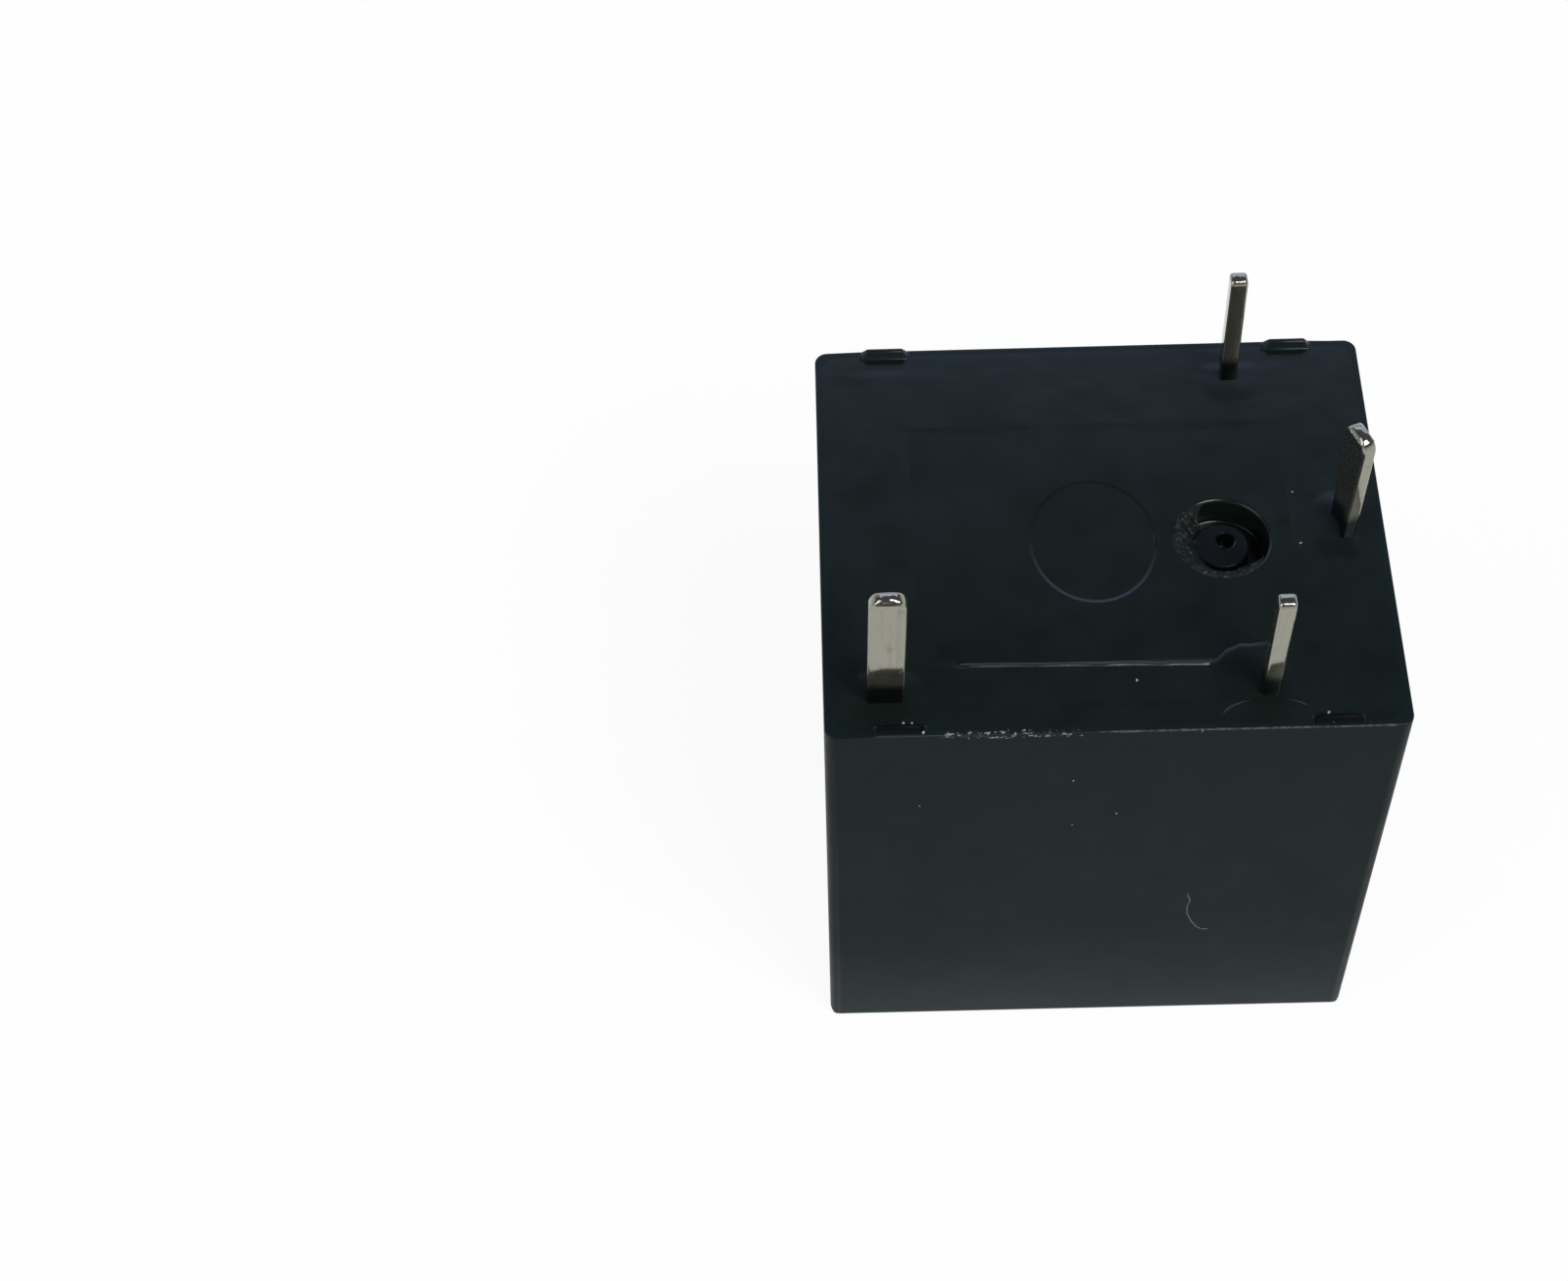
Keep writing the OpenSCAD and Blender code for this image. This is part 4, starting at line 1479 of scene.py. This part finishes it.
@dataclass
class Traces:
    """What making and handling left: resin smeared on the near rim, a burr beside it, dust and one fibre."""

    smear_from: float = -4.95 * MM
    smear_to: float = 3.60 * MM
    smear_full: float = -1.15 * MM
    smear_start: float = 0.5 * MM
    smear_thin: Span = (0.4 * MM, 0.6 * MM)
    smear_lost: float = 0.72
    smear_end: float = 0.6 * MM
    smear_top: float = 0.20 * MM
    smear_drop: float = 0.24 * MM
    smear_rise: float = 0.055 * MM
    smear_sunk: float = 0.012 * MM
    smear_cells: Cells = (300, 12)
    smear_thick: float = 0.06 * MM
    lump_sizes: Span = (0.16 * MM, 0.07 * MM)
    lump_share: float = 0.7
    lump_range: Span = (0.25, 0.85)
    burr_from: float = -0.90 * MM
    burr_to: float = 7.40 * MM
    burr_ends: Span = (0.1, 0.03)
    burr_r: float = 0.036 * MM
    burr_least: float = 0.002 * MM
    burr_range: Span = (0.4, 0.6)
    burr_size: float = 0.5 * MM
    burr_in: float = 0.012 * MM
    burr_arc: Span = (-50.0, 190.0)
    burr_cells: Cells = (220, 6)
    burr_thick: float = 0.02 * MM
    fibre_r: float = 0.017 * MM
    fibre_line: Line = (
        (2.50, 7.02), (2.62, 6.62), (2.56, 6.25), (2.60, 5.85), (2.74, 5.45), (2.92, 5.10), (3.08, 4.95),
        (3.28, 4.93),
    )
    front_dust: tuple[Point, ...] = (
        (-1.09, 13.24, 0.030), (-1.00, 10.95, 0.024), (0.18, 11.51, 0.032), (-5.21, 12.13, 0.024),
    )
    panel_dust: tuple[Point, ...] = ((5.36, 1.15, 0.036), (5.40, -0.61, 0.042))
    rim_dust: tuple[tuple[float, float, float, float], ...] = (
        (0.57, -4.99, 15.60, 0.040), (-5.155, -6.54, 15.70, 0.045), (-5.67, -6.354, 15.88, 0.036),
        (-5.45, -6.36, 15.88, 0.030), (5.46, -6.345, 15.88, 0.045), (5.59, -6.51, 15.72, 0.040),
    )
    dust_range: Span = (0.6, 1.15)
    seed: int = 11
    front: float = field(init=False)

    def __post_init__(self) -> None:
        """Finds the front wall."""
        self.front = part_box("cover")[0].y

    def build(self, finishes: Finishes) -> None:
        """Builds the smear, the burr, the fibre and the dust.

        Args:
            finishes: The relay's finishes.
        """
        smear = Bench.strip("rim_smear", self.smear_cells, self.wrap, self.smear_thick)
        Bench.dress(smear, finishes.smeared, Slot.RESIN, Body.HOUSING, Smooth.RAGGED)
        burr = Bench.strip("rim_burr", self.burr_cells, self.burr, self.burr_thick)
        Bench.dress(burr, finishes.burr, Slot.COVER, Body.HOUSING, Smooth.RAGGED)
        Bench.dress(self.fibre(), finishes.fibre, Slot.COVER, Body.HOUSING, Smooth.ROUND)
        Bench.dress(self.dust(), finishes.lint, Slot.COVER, Body.HOUSING, Smooth.ROUND)

    def wrap(self, along: float, across: float) -> Vector:
        """Lays the ragged smear round the rim's near edge.

        Args:
            along: The share of its length.
            across: The share of its width, from the front wall up to the rim.

        Returns:
            The place on the smear.
        """
        x = self.smear_from + along * (self.smear_to - self.smear_from)
        reach = across * (self.smear_top + self.smear_drop)
        before, after = self.smear_thin
        ends = ease(self.smear_from, self.smear_from + self.smear_start, x)
        ends *= 1.0 - self.smear_lost * ease(self.smear_full - before, self.smear_full + after, x)
        ends *= 1.0 - ease(self.smear_to - self.smear_end, self.smear_to, x)
        lump = lumps(Vector((x, reach, 0.0)), self.lump_sizes, self.lump_share)
        least, more = self.lump_range
        proud = self.smear_rise * ends * math.sin(math.pi * across) * (least + more * lump) - self.smear_sunk
        fold = reach - self.smear_drop
        if fold >= 0.0:
            return Vector((x, self.front + fold, RIM + proud))
        return Vector((x, self.front - proud, RIM + fold))

    def burr(self, along: float, across: float) -> Vector:
        """Lays the thin pale burr along the right part of the rim's near edge.

        Args:
            along: The share of its length.
            across: The share of its width, from the front wall up to the rim.

        Returns:
            The place on the burr.
        """
        x = self.burr_from + along * (self.burr_to - self.burr_from)
        thick = 0.5 + 0.5 * noise.noise(Vector((x, 0.0, 0.0)) / self.burr_size)
        (least, more), (start, end) = self.burr_range, self.burr_ends
        radius = self.burr_r * (least + more * thick) * ease(0.0, start, along) * ease(0.0, end, 1.0 - along)
        turn = math.radians(self.burr_arc[0] + self.burr_arc[1] * across)
        middle = Vector((x, self.front + self.burr_in, RIM - self.burr_in))
        return middle + Vector((0.0, -math.cos(turn), math.sin(turn))) * (self.burr_least + radius)

    def fibre(self) -> bpy.types.Object:
        """Builds the curled fibre that clings to the front wall.

        Returns:
            The fibre.
        """
        line = bpy.data.curves.new("front_fibre", "CURVE")
        line.dimensions = "3D"
        line.bevel_depth = self.fibre_r
        line.bevel_resolution = 2
        line.use_fill_caps = True
        thread = line.splines.new("NURBS")
        thread.use_endpoint_u = True
        thread.order_u = 4
        thread.points.add(len(self.fibre_line) - 1)
        for place, (x, z) in zip(thread.points, self.fibre_line):
            place.co = (x * MM, self.front, z * MM, 1.0)
        Bench.take(Bench.put("front_fibre", line))
        bpy.ops.object.convert(target="MESH")
        fibre = bpy.context.view_layer.objects.active
        Bench.close(fibre)
        return fibre

    def dust(self) -> bpy.types.Object:
        """Builds the dust specks as one piece.

        Returns:
            The dust.
        """
        places = [((x * MM, self.front, z * MM), r * MM) for x, z, r in self.front_dust]
        places += [((x * MM, y * MM, PANEL), r * MM) for x, y, r in self.panel_dust]
        places += [((x * MM, y * MM, z * MM), r * MM) for x, y, z, r in self.rim_dust]
        draw = Random(self.seed)
        specks = []
        for place, radius in places:
            Bench.clear()
            bpy.ops.mesh.primitive_ico_sphere_add(subdivisions=2, radius=radius, location=place)
            speck = Bench.added("speck")
            middle = Vector(place)
            Bench.shape(speck, lambda point: middle + (point - middle) * draw.uniform(*self.dust_range))
            specks.append(speck)
        Bench.take(specks[0])
        for speck in specks[1:]:
            speck.select_set(True)
        bpy.ops.object.join()
        specks[0].name = specks[0].data.name = "dust_specks"
        return specks[0]


@dataclass
class Studio:
    """The pale floor, the soft light and the camera."""

    lens: float = 68.7560
    sensor: float = 36.0
    eye: Point = (-7.8289 * MM, -49.3365 * MM, 81.6307 * MM)
    yaw: float = 1.1730
    pitch: float = 55.1842
    roll: float = -2.3808
    floor_size: float = 4.0
    floor_drop: float = 0.01 * MM
    floor_colour: Colour = (0.86, 0.86, 0.86)
    floor_white: float = 0.93
    sky_range: Span = (0.12, 0.45)
    sky_low: Colour = (0.70, 0.73, 0.78)
    sky_high: Colour = (0.05, 0.05, 0.052)
    lamps: tuple[tuple[str, Point, Span, float, Colour], ...] = (
        ("key_lamp", (0.20, -0.23, 0.44), (0.24, 0.24), 2.5, (1.0, 0.99, 0.97)),
        ("fill_lamp", (-0.30, -0.14, 0.26), (0.26, 0.26), 0.6, (0.96, 0.98, 1.0)),
        ("back_lamp", (0.0, 0.405, 0.294), (0.60, 0.25), 0.85, (0.54, 0.64, 1.0)),
    )
    lamp_aim: Point = (0.0, 0.0, 0.01)

    def build(self) -> None:
        """Sets up floor, light and camera."""
        bpy.context.scene.view_settings.view_transform = "Standard"
        self.lay_floor()
        self.light_sky()
        for name, place, size, power, colour in self.lamps:
            self.hang_lamp(name, place, size, power, colour)
        self.set_camera()

    def lay_floor(self) -> None:
        """Lays the floor, white to the eye and in reflections, and lit elsewhere so that it keeps the shadow."""
        Bench.clear()
        bpy.ops.mesh.primitive_plane_add(size=self.floor_size, location=(0.0, 0.0, -self.floor_drop))
        floor = Bench.added("pale_floor")
        made, shader = Shader.material("pale_floor")
        path = shader.node("ShaderNodeLightPath")
        seen = Value(shader, path.outputs["Is Camera Ray"])
        for ray in ("Is Glossy Ray", "Is Transmission Ray"):
            seen = seen.most(Value(shader, path.outputs[ray]))
        sheet = shader.node("ShaderNodeBsdfDiffuse", {}, {"Color": (*self.floor_colour, 1.0)})
        white = shader.node("ShaderNodeEmission", {}, {"Strength": 1.0})
        inputs = {0: self.floor_white * seen, 1: sheet.outputs[0], 2: white.outputs[0]}
        both = shader.node("ShaderNodeMixShader", {}, inputs)
        shader.node("ShaderNodeOutputMaterial", {}, {"Surface": both.outputs[0]})
        Bench.paint(floor, made)

    def light_sky(self) -> None:
        """Lights the room dimly from above and paler near the horizon."""
        world = bpy.data.worlds.new("studio_room")
        world.use_nodes = True
        bpy.context.scene.world = world
        shader = Shader(world.node_tree)
        place = shader.node("ShaderNodeTexCoord").outputs["Generated"]
        rise = Value(shader, shader.node("ShaderNodeSeparateXYZ", {}, {0: place}).outputs["Z"])
        sky = shader.mix(rise.step(*self.sky_range), self.sky_low, self.sky_high)
        light = shader.node("ShaderNodeBackground", {}, {"Color": sky, "Strength": 1.0})
        shader.node("ShaderNodeOutputWorld", {}, {"Surface": light.outputs[0]})

    def hang_lamp(self, name: str, place: Point, size: Span, power: float, colour: Colour) -> None:
        """Hangs one soft lamp that faces the relay.

        Args:
            name: The lamp's name.
            place: Where it hangs.
            size: Its width and height.
            power: Its power in watts.
            colour: Its colour.
        """
        light = bpy.data.lights.new(name, "AREA")
        light.shape, light.energy, light.color = "RECTANGLE", power, colour
        light.size, light.size_y = size
        lamp = Bench.put(name, light)
        lamp.visible_camera = False
        lamp.location = place
        aim = Vector(self.lamp_aim) - Vector(place)
        lamp.rotation_euler = aim.to_track_quat("-Z", "Y").to_euler()

    def set_camera(self) -> None:
        """Puts the camera where it looks down on the terminals from the front."""
        data = bpy.data.cameras.new("camera")
        data.lens, data.sensor_width, data.sensor_fit = self.lens, self.sensor, "HORIZONTAL"
        data.clip_start, data.clip_end = MM, 2.0 * self.floor_size
        camera = Bench.put("camera", data)
        turn = Matrix.Rotation(math.radians(self.yaw), 4, "Z")
        tilt = Matrix.Rotation(math.radians(90.0 - self.pitch), 4, "X")
        lean = Matrix.Rotation(math.radians(self.roll), 4, "Z")
        camera.matrix_world = Matrix.Translation(self.eye) @ turn @ tilt @ lean
        bpy.context.scene.camera = camera


def main() -> None:
    """Builds the relay's looks, piece by piece."""
    logging.basicConfig(level=logging.INFO, format="%(name)s: %(message)s")
    finishes = Finishes.make()
    Housing().build(finishes)
    ResinSeal().build(finishes)
    Terminals().build(finishes)
    Coil().build(finishes)
    Clapper().build(finishes)
    Traces().build(finishes)
    Studio().build()


if __name__ == "__main__":
    main()
